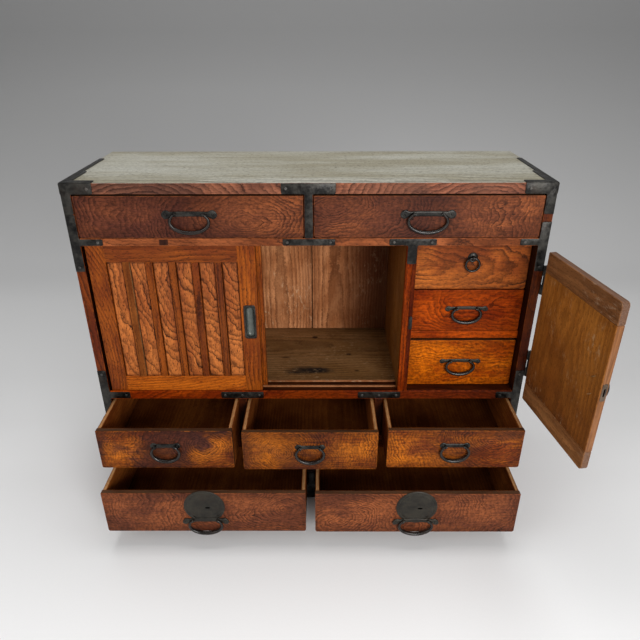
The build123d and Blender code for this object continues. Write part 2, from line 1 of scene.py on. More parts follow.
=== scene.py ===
"""Looks of the tansu chest: figured elm boards, forged irons, a floor, soft lights and a camera."""
import json
import random
from collections import namedtuple
from functools import partial
from math import acos, cos, pi, radians, sin, sqrt

import bmesh
import bpy
from mathutils import Matrix, Vector


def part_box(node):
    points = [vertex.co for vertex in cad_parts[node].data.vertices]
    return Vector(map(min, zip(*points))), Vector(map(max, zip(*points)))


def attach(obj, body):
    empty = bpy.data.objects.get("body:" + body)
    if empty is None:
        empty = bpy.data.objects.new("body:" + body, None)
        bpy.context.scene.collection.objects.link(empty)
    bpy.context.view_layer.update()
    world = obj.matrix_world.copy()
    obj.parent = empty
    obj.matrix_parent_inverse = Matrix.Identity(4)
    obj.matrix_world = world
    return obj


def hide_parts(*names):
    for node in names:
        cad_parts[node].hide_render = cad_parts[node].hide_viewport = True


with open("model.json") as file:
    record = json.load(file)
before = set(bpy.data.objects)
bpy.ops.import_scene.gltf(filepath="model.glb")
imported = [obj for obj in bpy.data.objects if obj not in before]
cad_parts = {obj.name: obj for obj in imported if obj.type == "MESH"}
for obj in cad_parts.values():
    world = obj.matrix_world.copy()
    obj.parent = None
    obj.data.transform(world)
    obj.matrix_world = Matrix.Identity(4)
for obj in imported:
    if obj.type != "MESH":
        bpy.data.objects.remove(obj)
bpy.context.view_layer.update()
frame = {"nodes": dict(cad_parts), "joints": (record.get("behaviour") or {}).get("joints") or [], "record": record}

MM = 0.001
NEAR = 1e-6
draw = random.Random(11)

record = frame["record"]
body_of = {node: body for body, nodes in record["behaviour"]["bodies"].items() for node in nodes}
joint_at = {joint["name"]: joint["pos_m"] for joint in frame["joints"] if "pos_m" in joint}

# Sizes of the part that its node boxes do not give, in millimetres
OUTER_X, INNER_X = 454.5, 436.5
FRONT, INNER_BACK, BACK = -151.5, 143.5, 151.5
BEARER_TOP, BOTTOM_LEVEL, BOTTOM_CEILING = 23, 41, 152
MIDDLE_LEVEL, MIDDLE_CEILING = 186, 286
BAY_LEVEL, BAY_CEILING, BAY_MIDDLE = 306, 637, 471.5
TOP_LEVEL, TOP_CEILING, CASE_TOP = 652, 737, 757
BAY_LEFT, BAY_RIGHT = 188, 208
HALF_DIVIDER, MIDDLE_DIVIDER_X = 8.75, 148.4167
HALF_BEARER = 9
DRAWER_RAIL, DRAWER_SHELF = 40, 12
SMALL_RAIL, SMALL_SPLIT, HALF_SMALL_SHELF = (423, 440), 535, 5
SMALL_SETBACK, SMALL_RAIL_SETBACK = 40.3, 25
TRACKS = ((-147.3, -131.1), (-126.9, -110.7))
SILL_BACK, TRACK_DEPTH, HEAD_TRACK_DEPTH = -106.5, 3.5, 9
OVERRUN = 5
PIN = (460.3, -154.15)
DOOR_OPEN = 98.4

# Rounding of edges and corners, in millimetres, and the angles above which edges count as sharp
EASE, FACING_EASE, FINE_EASE, IRON_EASE, WORN_CORNER = 0.8, 0.4, 0.2, 0.45, 4.5
BOARD_ANGLE, IRON_ANGLE, SMOOTH_ANGLE = 0.7, 0.9, radians(40)


def tint(colour):
    """A colour written in screen values, as linear light."""
    def linear(value):
        share = value / 255
        return share / 12.92 if share <= 0.04045 else ((share + 0.055) / 1.055) ** 2.4
    return (*map(linear, colour), 1)


def linked(name, data):
    """An object that shows some data in the scene."""
    thing = bpy.data.objects.new(name, data)
    bpy.context.scene.collection.objects.link(thing)
    return thing


def mesh_data(name, mesh):
    """An edited mesh, kept under a name."""
    data = bpy.data.meshes.new(name)
    mesh.to_mesh(data)
    mesh.free()
    return data


def show(name, node, mesh, material, place=None, smooth=False):
    """A piece in the place of its CAD node."""
    if place:
        bmesh.ops.transform(mesh, matrix=place, verts=mesh.verts)
    bmesh.ops.recalc_face_normals(mesh, faces=mesh.faces)
    data = mesh_data(name, mesh)
    if smooth:
        data.shade_smooth()
        data.set_sharp_from_angle(angle=SMOOTH_ANGLE)
    data.materials.append(material)
    piece = linked(name, data)
    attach(piece, body_of[node])
    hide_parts(node)


# Boards

# Where the heart of the log lies beside and below the board, how the log leans, how bright the
# board is, how far its rings wander, how deeply its start, middle and end are stained, how much
# painted shadow darkens the far side of its inner face, and how many pale flecks it has
Figure = namedtuple("Figure", "side depth lean light swirl stain drift flecks", defaults=(0, 1))


def round_off(mesh, edges, radius, segments=2, profile=0.5, clamp=False):
    """Round some edges of a mesh."""
    bmesh.ops.bevel(mesh, geom=edges, offset=radius, segments=segments, profile=profile,
                    affect="EDGES", clamp_overlap=clamp)


def sharp_edges(mesh, angle):
    return [edge for edge in mesh.edges if edge.calc_face_angle(0) > angle]


def edges_along(mesh, axis, *places):
    """Edges along one axis whose ends lie at given places, each an axis and a value."""
    return [edge for edge in mesh.edges
            if all(abs(vert.co[i] - value) < NEAR for vert in edge.verts for i, value in places)
            and abs(edge.verts[0].co[axis] - edge.verts[1].co[axis]) > NEAR]


def eased_box(lo, hi, ease):
    """A box with rounded edges, as a mesh of its own."""
    mesh = bmesh.new()
    for vert in bmesh.ops.create_cube(mesh, size=1)["verts"]:
        vert.co = [lo[i] + (vert.co[i] + 0.5) * (hi[i] - lo[i]) for i in range(3)]
    if ease:
        round_off(mesh, mesh.edges[:], ease, clamp=True)
    return mesh


def raised_strip(lo, hi, ease):
    """A panel strip with a wide soft chamfer along both sides of its front."""
    mesh = eased_box(lo, hi, 0)
    round_off(mesh, edges_along(mesh, 2, (1, lo.y)), ease, 3, 0.42)
    return mesh


def rounded_corner(lo, hi, ease, corner_z, radius):
    """An eased box whose corner at the low end of X, at one height, is rounded."""
    mesh = eased_box(lo, hi, 0)
    round_off(mesh, edges_along(mesh, 1, (0, lo.x), (2, corner_z)), radius, 6)
    round_off(mesh, sharp_edges(mesh, BOARD_ANGLE), ease)
    return mesh


def worn_front(lo, hi, ease):
    """A drawer front, its lower corners worn round and its upper ones a little."""
    mesh = eased_box(lo, hi, 0)
    for level, radius in ((lo.z, WORN_CORNER), (hi.z, WORN_CORNER / 3)):
        round_off(mesh, edges_along(mesh, 1, (2, level)), radius * MM, 5)
    round_off(mesh, sharp_edges(mesh, BOARD_ANGLE), ease)
    return mesh


def carved(lo, hi, ease, cuts):
    """An eased box with box-shaped cuts taken out of it."""
    shapes = [eased_box(lo, hi, ease)] + [eased_box(*cut, 0) for cut in cuts]
    block, *tools = [linked("temporary", mesh_data("temporary", shape)) for shape in shapes]
    for tool in tools:
        cut = block.modifiers.new("cut", "BOOLEAN")
        cut.operation = "DIFFERENCE"
        cut.solver = "EXACT"
        cut.object = tool
    bpy.context.view_layer.update()
    depsgraph = bpy.context.evaluated_depsgraph_get()
    shaped = bpy.data.meshes.new_from_object(block.evaluated_get(depsgraph))
    mesh = bmesh.new()
    mesh.from_mesh(shaped)
    for thing in (block, *tools):
        data = thing.data
        bpy.data.objects.remove(thing)
        bpy.data.meshes.remove(data)
    bpy.data.meshes.remove(shaped)
    return mesh


def place_in_grain(source):
    """A place in endless grain, from a source of random numbers."""
    return Vector([source.uniform(-9, 9) for _ in range(3)])


def own_seed(name):
    """A place in the grain that belongs to one name, whatever is drawn before."""
    return place_in_grain(random.Random(name))


class Boards:
    """The boards of one CAD node, each with its own grain, gathered into one mesh."""

    NAMES = ("grain", "seed", "local", "half", "pith", "tone", "stain", "drift")

    def __init__(self, node, name=None):
        self.node = node
        self.name = name or node + "_boards"
        self.whole = bmesh.new()
        self.add_layers(self.whole)

    def add_layers(self, mesh):
        return {name: mesh.verts.layers.float_vector.new(name) for name in self.NAMES}

    def add(self, x, y, z, along, figure, ease=EASE, shape=eased_box, cut_from=None, seed=None):
        """One board between three pairs of limits in millimetres, its grain along one axis.
        cut_from gives the limits of a larger board whose figure runs on through this one."""
        lo, hi = [Vector(pair) * MM for pair in zip(x, y, z)]
        mesh = shape(lo, hi, ease * MM)
        layers = self.add_layers(mesh)
        size = hi - lo
        u = "xyz".index(along)
        v, w = sorted({0, 1, 2} - {u}, key=lambda axis: -size[axis])
        order = (u, v, w)
        middle = (lo + hi) / 2
        source = middle
        if cut_from:
            source = Vector([sum(pair) / 2 for pair in cut_from]) * MM
        values = {
            "seed": place_in_grain(draw) if seed is None else seed,
            "half": Vector([size[axis] / 2 for axis in order]),
            "pith": Vector((figure.side * MM, figure.depth * MM, figure.lean)),
            "tone": Vector((figure.light, figure.swirl, figure.flecks)),
            "stain": Vector(figure.stain),
            "drift": Vector((figure.drift, 0, 0)),
        }
        for vert in mesh.verts:
            for name, value in values.items():
                vert[layers[name]] = value
            vert[layers["local"]] = [(vert.co - middle)[axis] for axis in order]
            vert[layers["grain"]] = [(vert.co - source)[axis] for axis in order]
        data = mesh_data("temporary", mesh)
        self.whole.from_mesh(data)
        bpy.data.meshes.remove(data)

    def finish(self, material, place=None):
        """The node's piece, made and put on its body."""
        show(self.name, self.node, self.whole, material, place)


# Materials

class Graph:
    """The nodes of one material, with short calls for the kinds used here."""

    def __init__(self, name):
        self.material = bpy.data.materials.new(name)
        self.material.use_nodes = True
        self.tree = self.material.node_tree
        self.tree.nodes.clear()
        self.shader = self.node("ShaderNodeBsdfPrincipled")
        output = self.node("ShaderNodeOutputMaterial")
        self.put(output.inputs["Surface"], self.shader.outputs["BSDF"])

    def node(self, kind, inputs=None, **settings):
        """A node with its settings, and with inputs given by name or by place."""
        made = self.tree.nodes.new(kind)
        for name, value in settings.items():
            setattr(made, name, value)
        for key, value in (inputs or {}).items():
            if value is not None:
                self.put(made.inputs[key], value)
        return made

    def put(self, socket, value):
        if isinstance(value, bpy.types.NodeSocket):
            self.tree.links.new(value, socket)
        else:
            socket.default_value = value

    def feed(self, name, value):
        """Give one input of the shader its value."""
        self.put(self.shader.inputs[name], value)

    def math(self, operation, *values, clamp=False):
        inputs = dict(enumerate(values))
        made = self.node("ShaderNodeMath", inputs, operation=operation, use_clamp=clamp)
        return made.outputs[0]

    def plus(self, first, second, clamp=False):
        return self.math("ADD", first, second, clamp=clamp)

    def times(self, first, second):
        return self.math("MULTIPLY", first, second)

    def swing(self, value, reach):
        """A value that lies about 0.5, as a swing about 0."""
        return self.times(self.math("SUBTRACT", value, 0.5), reach)

    def vector(self, operation, first, second=None, scale=None):
        inputs = {0: first, 1: second, "Scale": scale}
        made = self.node("ShaderNodeVectorMath", inputs, operation=operation)
        return made.outputs["Value" if operation == "LENGTH" else "Vector"]

    def stretch(self, vector, *shares):
        return self.vector("MULTIPLY", vector, shares)

    def split(self, vector):
        return self.node("ShaderNodeSeparateXYZ", {0: vector}).outputs[:]

    def attribute(self, name):
        return self.node("ShaderNodeAttribute", attribute_name=name).outputs["Vector"]

    def noise(self, vector, scale, detail=2, roughness=0.5, output="Fac"):
        inputs = {"Vector": vector, "Scale": scale, "Detail": detail, "Roughness": roughness}
        return self.node("ShaderNodeTexNoise", inputs).outputs[output]

    def band(self, value, low, high, start=0, end=1):
        """A smooth step from start at low to end at high."""
        inputs = dict(enumerate((value, low, high, start, end)))
        made = self.node("ShaderNodeMapRange", inputs, interpolation_type="SMOOTHSTEP")
        return made.outputs[0]

    def ramp(self, factor, stops):
        """Steps from place to place, each a colour or a shade of grey."""
        made = self.node("ShaderNodeValToRGB", {0: factor})
        points = made.color_ramp.elements
        while len(points) < len(stops):
            points.new(0.5)
        for point, (place, value) in zip(points, stops):
            point.position = place
            point.color = value if isinstance(value, tuple) else (value, value, value, 1)
        return made.outputs[0]

    def mix(self, factor, first, second, blend="MIX"):
        inputs = {"Factor": factor, 6: first, 7: second}
        return self.node("ShaderNodeMix", inputs, data_type="RGBA", blend_type=blend).outputs[2]

    def bump(self, height, strength, distance):
        inputs = {"Height": height, "Strength": strength, "Distance": distance}
        self.feed("Normal", self.node("ShaderNodeBump", inputs).outputs[0])


# Late and early wood within a year, the limits of stains, and one dark colour for the dirt of hands,
# the darkening towards edges and the painted shadow in seams
LATE_WOOD = ((0, 1), (0.08, 0), (0.5, 0.03), (0.8, 0.3), (0.93, 1), (1, 1))
EARLY_WOOD = ((0, 0), (0.08, 0.3), (0.18, 1), (0.32, 1), (0.6, 0), (1, 0))
PATCHES, CLOUDS = (0.4, 0.58, 0.25, 1.45), (0.25, 0.75, 0.75, 1.25)
DIRT_AND_SHADOW = (0.3, 0.24, 0.25, 1)

# Where the effects of edges begin and end, in metres from an edge of the face or from its middle
EDGE_DARKENING_REACH, SEAM_SHADOW_REACH, WEAR_AND_HIGHLIGHT_REACH = (0, 0.03), (0.0015, 0.004), (0.0003, 0.0016)
HAND_REACH, NARROW_REACH, INNER_REACH = (0.035, 0.085), (0.0008, 0.0018), (-0.001, 0.001)


def year_rings(g, grain, spot, swirl, ring, wander, rag, fade):
    """Late and early wood, where the board's face cuts the years of the log.
    The rings wander slowly along the log, quickly round burls, and raggedly at the pores."""
    side, depth, lean = g.split(g.attribute("pith"))
    slow, quick, burl = wander
    drifts = []
    for share, texture, reach in ((0.6, (8, 2), slow), (0.8, (30, 3, 0.6), quick)):
        noise = g.noise(g.stretch(spot, share, 1, 1), *texture, output="Color")
        centred = g.vector("ADD", noise, (-0.5, -0.5, -0.5))
        drifts.append(g.vector("SCALE", centred, scale=2 * reach * MM))
    drift = g.vector("SCALE", g.vector("ADD", *drifts), scale=swirl)
    u, v, w = g.split(g.vector("ADD", grain, drift))
    across = g.math("SUBTRACT", v, side)
    down = g.plus(g.math("SUBTRACT", w, depth), g.times(u, lean))
    radius = g.math("SQRT", g.plus(g.times(across, across), g.times(down, down)))
    eyes = g.swing(g.noise(spot, 13, 2, 0.45), swirl)
    count = g.plus(g.math("DIVIDE", radius, ring * MM), g.times(eyes, 2 * burl))
    count = g.plus(count, g.swing(g.noise(spot, 210, 2, 0.6), rag))
    year = g.node("ShaderNodeTexWhiteNoise", {"W": g.math("FLOOR", count)}, noise_dimensions="1D")
    within = g.math("FRACT", count)
    clear = g.band(g.noise(spot, 17, 2, 0.6), 0.36, 0.62, fade, 1)
    late = g.times(g.ramp(within, LATE_WOOD), clear)
    late = g.times(late, g.band(year.outputs["Value"], 0, 1, 0.35, 1))
    return late, g.times(g.ramp(within, EARLY_WOOD), clear)


def stained(g, local, half, cloud, patchy):
    """How deeply the board is stained, from its start over its middle to its end, in clouds,
    and painted shadow towards the far side of its inner face, mixed in as more stain."""
    at_start, at_middle, at_end = g.split(g.attribute("stain"))
    drift = g.split(g.attribute("drift"))[0]
    place, reach = g.split(local), g.split(half)
    along = g.math("DIVIDE", place[0], reach[0])
    beside = g.math("DIVIDE", place[1], reach[1])
    from_start = g.times(g.math("MAXIMUM", g.times(along, -1), 0), at_start)
    from_end = g.times(g.math("MAXIMUM", along, 0), at_end)
    from_middle = g.times(g.math("SUBTRACT", 1, g.math("ABSOLUTE", along)), at_middle)
    cover = g.plus(g.plus(from_start, from_end), from_middle)
    cover = g.times(cover, g.band(cloud, *(PATCHES if patchy else CLOUDS)))
    # Painted shadow: more stain towards the far side of the board's inner face, where a wall beside it would cast
    # its shadow
    inner_face = g.band(place[2], *INNER_REACH, 1, 0)
    painted_shadow = g.times(g.times(g.band(beside, -0.9, 0.45), inner_face), drift)
    return g.plus(cover, painted_shadow, clamp=True)


def wood(name, light, deep, line, stain, ring=6.2, wander=(16, 7, 2.5), rings=0.9, rag=0.6,
         fade=0.4, pores=0.5, edge_darkening=0.4, rough=0.4, gloss=0.1, glow=0.25, curl=0, patchy=False,
         streak=0.6, rim=None, specks=None, marks=(), handled=0, seam_shadow=0):
    """Lacquered or bare wood, with year rings that wander with the figure. Sizes in millimetres.
    ring is the width of a year, wander how far the rings wander slowly, quickly and round eyes,
    rings how dark they are, and fade what is left of them where they are faintest. glow and curl
    are the shine of early wood and of a burl's short curls. patchy gives stains clear limits,
    and the less streak, the longer the uneven tones. rim and specks are the colours of narrow
    faces and of pale flecks. marks are knots and scars: place along and across the board, half
    length, half width, depth and colour. The edge darkening darkens the face towards its edges,
    the seam paints shadow along their very rim, and handled darkens its middle with the dirt of
    hands. A pale line along the edges is wear and a painted highlight in one."""
    g = Graph(name)
    light, deep, line, stain = map(tint, (light, deep, line, stain))
    grain, seed, local, half = map(g.attribute, ("grain", "seed", "local", "half"))
    lightness, swirl, flecks = g.split(g.attribute("tone"))
    spot = g.vector("ADD", grain, seed)
    late, early = year_rings(g, grain, spot, swirl, ring, wander, rag, fade)

    # Fibres and pores drawn out along the grain, and uneven tones
    fibre = g.noise(g.stretch(spot, 16, 380, 380), 1, 3, 0.6)
    pore = g.band(g.noise(g.stretch(spot, 130, 520, 520), 1, 1), 0.56, 0.7)
    pore = g.times(pore, g.band(late, 0, 0.6, 1, 0.5))
    blotch = g.noise(g.stretch(spot, streak, 1, 1), 14, 4, 0.62)
    cloud = g.noise(g.stretch(spot, 0.8, 1, 1), 12, 4, 0.6)
    mottle = g.plus(blotch, g.swing(fibre, 0.4))
    colour = g.mix(g.band(mottle, 0.36, 0.64), light, deep)

    colour = g.mix(stained(g, local, half, cloud, patchy), colour, stain)
    shine = g.times(early, glow)
    if curl:
        shine = g.plus(shine, g.band(g.noise(spot, 150, 3, 0.65), 0.34, 0.66, -curl, curl))
    colour = g.vector("SCALE", colour, scale=g.plus(shine, 1))
    colour = g.mix(g.times(late, rings), colour, line)
    colour = g.mix(g.times(pore, pores), colour, line)
    for along_at, across_at, half_long, half_wide, dark, mark in marks:
        off = g.vector("SUBTRACT", local, (along_at * MM, across_at * MM, 0))
        reach = g.vector("LENGTH", g.stretch(off, 1 / half_long / MM, 1 / half_wide / MM, 0))
        reach = g.plus(reach, g.swing(blotch, 2.5))
        colour = g.mix(g.band(reach, 0.5, 1.1, dark, 0), colour, tint(mark))
    if specks:
        fleck = g.noise(g.stretch(spot, 0.45, 1, 1), 150, 4, 0.75)
        spread = g.times(g.band(cloud, 0.46, 0.62), flecks)
        fleck = g.times(g.band(fleck, 0.52, 0.72, 0, 0.8), spread)
        colour = g.mix(fleck, colour, tint(specks))

    # Distance from the nearest edge of the face: the middle one of the three distances
    to_u, to_v, to_w = g.split(g.vector("SUBTRACT", half, g.vector("ABSOLUTE", local)))
    lower, upper = g.math("MINIMUM", to_u, to_v), g.math("MAXIMUM", to_u, to_v)
    edge = g.math("MAXIMUM", lower, g.math("MINIMUM", upper, to_w))
    soft_edge = g.plus(edge, g.swing(blotch, 0.03))
    # Darker towards the edges of the face
    colour = g.mix(g.band(soft_edge, *EDGE_DARKENING_REACH, edge_darkening, 0), colour, DIRT_AND_SHADOW, "MULTIPLY")
    if handled:
        reach = g.vector("LENGTH", g.stretch(local, 1, 1.5, 0))
        reach = g.plus(reach, g.swing(cloud, 0.12))
        colour = g.mix(g.band(reach, *HAND_REACH, handled, 0), colour, DIRT_AND_SHADOW, "MULTIPLY")
    # Painted shadow along the very rim of the face, as in the grooves beside a panel's strips
    if seam_shadow:
        colour = g.mix(g.band(edge, *SEAM_SHADOW_REACH, seam_shadow, 0), colour, DIRT_AND_SHADOW, "MULTIPLY")
    rub = g.noise(spot, 90, 3, 0.6)
    if rim:
        narrow = g.times(g.band(to_w, *NARROW_REACH), g.band(rub, 0.3, 0.62, 0.7, 1))
        end_grain = g.mix(g.band(fibre, 0.3, 0.7, 0, 0.6), tint(rim), line)
        colour = g.mix(narrow, colour, end_grain)
    # A pale line along the edges: wear, and a painted highlight where the arris would catch the light
    wear_and_highlight = g.times(g.band(edge, *WEAR_AND_HIGHLIGHT_REACH, 1, 0), g.band(rub, 0.42, 0.64, 0, 0.55))
    colour = g.mix(wear_and_highlight, colour, light)
    g.feed("Base Color", g.vector("SCALE", colour, scale=lightness))

    sheen = g.plus(g.swing(blotch, 0.3), rough)
    g.feed("Roughness", g.plus(sheen, g.times(pore, 0.15), clamp=True))
    g.feed("Specular IOR Level", gloss)
    relief = g.plus(g.times(late, 0.5), g.times(pore, -0.6))
    g.bump(g.plus(relief, g.times(fibre, 0.35)), 0.35, 0.0006)
    return g.material


def iron(name, dark, pale, rust, rough, metal=0.75, dents=0.5, gloss=0.5, grit=0.4):
    """Forged black iron: uneven black skin, hammer marks, thin brown rust, rubbed high spots."""
    g = Graph(name)
    spot = g.node("ShaderNodeTexCoord").outputs["Object"]
    crust = g.noise(spot, 55, 4, 0.65)
    fine = g.noise(spot, 420, 3, 0.6)
    hammer = g.noise(spot, 120, 1)
    colour = g.mix(g.band(crust, 0.35, 0.68), tint(dark), tint(pale))
    spread = g.band(g.noise(spot, 28, 4, 0.7), 0.52, 0.7)
    rusty = g.times(spread, g.band(fine, 0.4, 0.6, 0.25, 0.75))
    g.feed("Base Color", g.mix(rusty, colour, tint(rust)))
    g.feed("Metallic", metal)
    g.feed("Specular IOR Level", gloss)
    worn = g.plus(crust, g.times(fine, grit))
    g.feed("Roughness", g.band(worn, 0.2 + grit / 2, 0.6 + grit, rough - 0.14, rough + 0.16))
    g.bump(g.plus(hammer, g.times(fine, grit / 2)), dents, 0.0012)
    return g.material


LINE, STAIN, RIM, KNOT, SCAR = (28, 9, 3), (74, 37, 27), (82, 58, 40), (40, 18, 8), (20, 22, 24)
front_wood = wood(
    "front_wood", (194, 106, 20), (108, 45, 7), LINE, STAIN, ring=5.4, fade=0.3, patchy=True,
    rim=RIM, handled=0.55, glow=0.4, curl=0.28, edge_darkening=0.65)
brown_wood = wood(
    "brown_front_wood", (152, 84, 44), (98, 51, 28), LINE, STAIN, ring=5.8, fade=0.3, rim=RIM,
    handled=0.4, glow=0.3, curl=0.25, edge_darkening=0.5)
rail_wood = wood("rail_wood", (168, 94, 50), (118, 60, 26), LINE, STAIN, glow=0.3)
red_wood = wood(
    "red_front_wood", (166, 67, 6), (116, 36, 2), LINE, (84, 30, 12), ring=7, rings=0.7,
    handled=0.3, glow=0.35, curl=0.2, gloss=0.04)
golden_wood = wood(
    "golden_front_wood", (188, 94, 6), (136, 54, 2), LINE, STAIN, rings=0.6, rim=RIM, handled=0.3,
    glow=0.35, curl=0.3, gloss=0.05)
amber_wood = wood(
    "amber_front_wood", (180, 98, 34), (122, 58, 18), LINE, (94, 40, 14), ring=9,
    wander=(14, 4, 1.4), rings=0.85, rim=RIM, handled=0.35, glow=0.45, curl=0.14)
case_wood = wood("case_wood", (174, 84, 18), (118, 44, 7), (36, 11, 3), (78, 29, 11), wander=(14, 5, 1.5))
edge_wood = wood(
    "top_edge_wood", (148, 90, 64), (104, 58, 42), (36, 17, 11), (64, 46, 39), ring=8,
    wander=(12, 5, 1.5), edge_darkening=0.1, patchy=True, glow=0.35)
door_wood = wood(
    "sliding_door_wood", (176, 90, 20), (126, 55, 9), (40, 13, 3), (106, 50, 24),
    wander=(10, 3, 0.8), rings=0.85, fade=0.35, pores=0.6)
strip_wood = wood(
    "sliding_door_strip_wood", (202, 118, 54), (152, 80, 32), (34, 12, 4), (118, 62, 38), ring=14,
    wander=(26, 9, 1.4), rings=1, rag=0.4, fade=0.7, pores=0.8, curl=0.15, seam_shadow=0.92)
# The lid's grey colours are painted reflection, the glare of the bright room on its face; its grain is its own
top_wood = wood(
    "top_wood", (172, 172, 163), (124, 118, 98), (60, 53, 40), (140, 135, 116), ring=10,
    wander=(8, 3, 1), rings=0.75, fade=0.5, pores=0.7, rough=0.34, gloss=0.5, edge_darkening=0.15,
    streak=0.14)
plank_wood = wood(
    "plank_wood", (190, 128, 84), (150, 92, 54), (80, 38, 15), (62, 22, 3), ring=6,
    wander=(8, 2, 0.6), rings=0.85, fade=0.6, pores=0.4, rough=0.62, gloss=0.08,
    specks=(226, 190, 150))
floor_wood = wood(
    "floor_wood", (158, 118, 76), (128, 92, 54), (66, 40, 20), (92, 60, 26), ring=8,
    wander=(10, 3, 0.6), rings=0.7, pores=0.4, rough=0.55, gloss=0.1, specks=(190, 156, 116),
    marks=((7, 72, 8, 8, 0.9, KNOT), (89, -12, 9, 7, 0.9, KNOT), (-50, 124, 14, 5, 0.7, KNOT),
           (-62, -27, 12, 4, 0.7, KNOT), (104, -87, 9, 5, 0.8, KNOT),
           (10, -88, 74, 21, 0.95, SCAR)))
box_wood = wood(
    "box_wood", (156, 88, 34), (116, 58, 18), (52, 21, 6), (88, 40, 10), wander=(8, 2, 0.6),
    rings=0.5, pores=0.4, rough=0.65, gloss=0.08, rim=(186, 138, 90))
leaf_wood = wood(
    "hinged_door_wood", (156, 98, 38), (124, 72, 21), (66, 33, 10), (92, 48, 17), ring=9,
    wander=(14, 4, 0.8), rings=0.3, pores=0.4, rough=0.46, gloss=0.16, edge_darkening=0.25,
    rim=(138, 92, 58), specks=(164, 132, 96))
batten_wood = wood(
    "batten_wood", (144, 97, 56), (112, 70, 36), (62, 36, 18), (86, 50, 28), ring=9,
    wander=(10, 4, 0.8), rings=0.4, pores=0.4, rough=0.5, gloss=0.14, edge_darkening=0.3, rim=(112, 84, 68),
    specks=(158, 132, 106))
plate_iron = iron("iron", (20, 19, 18), (56, 54, 50), (42, 32, 26), 0.38)
lock_iron = iron("lock_iron", (34, 31, 26), (52, 48, 40), (46, 36, 27), 0.42, 0.6, 0.12)
pull_iron = iron("pull_iron", (76, 80, 76), (98, 102, 97), (84, 80, 72), 0.3, 0.7, 0.03, grit=0.1)
rim_iron = iron("pull_rim_iron", (30, 29, 28), (66, 62, 58), (58, 44, 36), 0.34, dents=0.1)
bail_iron = iron(
    "bail_iron", (20, 15, 12), (34, 26, 21), (36, 24, 18), 0.2, 0.1, 0.01, gloss=0.38, grit=0.05)
nail_iron = iron("nail_iron", (52, 50, 47), (98, 94, 90), (66, 54, 44), 0.36, 0.6)
worn_iron = iron("worn_iron", (66, 54, 44), (104, 88, 72), (86, 64, 48), 0.42, 0.6, 0.2)
brass_iron = iron("clenched_nail_iron", (112, 86, 52), (176, 142, 96), (104, 76, 46), 0.36, 0.6, 0.05)
# Near-black inside the keyholes and the bolt hole: painted shadow where no light reaches
shadow_black_iron = iron("keyhole_shadow_iron", (6, 6, 6), (10, 9, 8), (9, 8, 7), 0.9, 0, gloss=0)


# Case

def about(middle, half):
    """Limits on both sides of a middle."""
    return (middle - half, middle + half)


def even(stain):
    """The same stain all along a board."""
    return (stain, stain, stain)


def sawn(light, stain=0.3, swirl=0.6, depth=70):
    """The figure of a board sawn somewhere beside the heart of its log."""
    return Figure(draw.uniform(-60, 60), -depth * draw.uniform(0.7, 1.4),
                  draw.uniform(-0.02, 0.02), light, swirl, even(stain))


BREADTH, DEPTH, HEIGHT = (-INNER_X, INNER_X), (FRONT, INNER_BACK), (0, TOP_CEILING)
LID = (TOP_CEILING, CASE_TOP)
FACING, SHADOW_LINING = 1.6, 3
FACING_DEPTH, BEHIND_FACING = (FRONT, FRONT + FACING), (FRONT + FACING, BACK)

top = Boards("top_panel")
top.add((-OUTER_X, OUTER_X), BEHIND_FACING, LID, "x", Figure(-170, -60, 0.03, 1, 0.9, even(0.4)))
top.finish(top_wood)
edging = Boards("top_panel", "top_panel_edging")
for x, figure in (((-OUTER_X, 0), Figure(-60, -50, 0.55, 0.9, 0.9, (0.5, 0.4, 0.1))),
                  ((0, OUTER_X), Figure(-50, 60, 0.6, 1.0, 1.0, (0.1, 0.4, 0.2)))):
    edging.add(x, FACING_DEPTH, LID, "x", figure, FACING_EASE)
edging.finish(edge_wood)

# Each side: its facing, the board itself, and a near-black lining on its inner face that is
# painted shadow in the gaps beside the doors and drawers
for name, side, light in (("left_side", -1, 0.85), ("right_side", 1, 0.5)):
    post = Boards(name)
    for near, far, depth, tone, ease in (
        (INNER_X, OUTER_X, FACING_DEPTH, (light, 0.6), FACING_EASE),
        (INNER_X + SHADOW_LINING, OUTER_X, BEHIND_FACING, (0.75, 0.5), EASE),
        (INNER_X, INNER_X + SHADOW_LINING, BEHIND_FACING, (0.1, 0.8), FINE_EASE),
    ):
        post.add(sorted((side * near, side * far)), depth, HEIGHT, "z", sawn(*tone, 0.9), ease)
    post.finish(case_wood)

base = Boards("base_frame")
base.add(BREADTH, DEPTH, (BEARER_TOP, BOTTOM_LEVEL), "x", sawn(0.5, 0.7))
for middle in (FRONT + HALF_BEARER, 0, INNER_BACK - HALF_BEARER):
    base.add(BREADTH, about(middle, HALF_BEARER), (0, BEARER_TOP), "x", sawn(0.5, 0.7))
base.finish(case_wood)

# Back planks, glued up in pairs, with an open seam and a tongue behind it between the pairs
planks = Boards("back_planks")
PAIRS, SEAM, TONGUE_SETBACK, PLANK_EASE = 4, 2.4, 4, 0.6
pair_width = 2 * INNER_X / PAIRS
PLANK_FIGURES = (
    sawn(1, 0.2, 0.6, 50),
    Figure(30, -50, 0.01, 1, 0.6, even(0.06)),
    # The third plank, beside the bay's wall, darkens with painted shadow towards the wall
    Figure(-50, -60, 0.01, 1, 0.6, even(0.0), 0.85, 0.25),
    sawn(1, 0.3, 0.6, 50),
)
for index, figure in enumerate(PLANK_FIGURES):
    left = -INNER_X + index * pair_width
    right = left + pair_width
    before = SEAM / 2 if index > 0 else 0
    after = SEAM / 2 if index < PAIRS - 1 else 0
    planks.add((left + before, right - after), (INNER_BACK, BACK), HEIGHT, "z", figure, PLANK_EASE)
    if after:
        planks.add(about(right, after), (INNER_BACK + TONGUE_SETBACK, BACK), HEIGHT, "z", sawn(0.2), 0)
planks.finish(plank_wood)

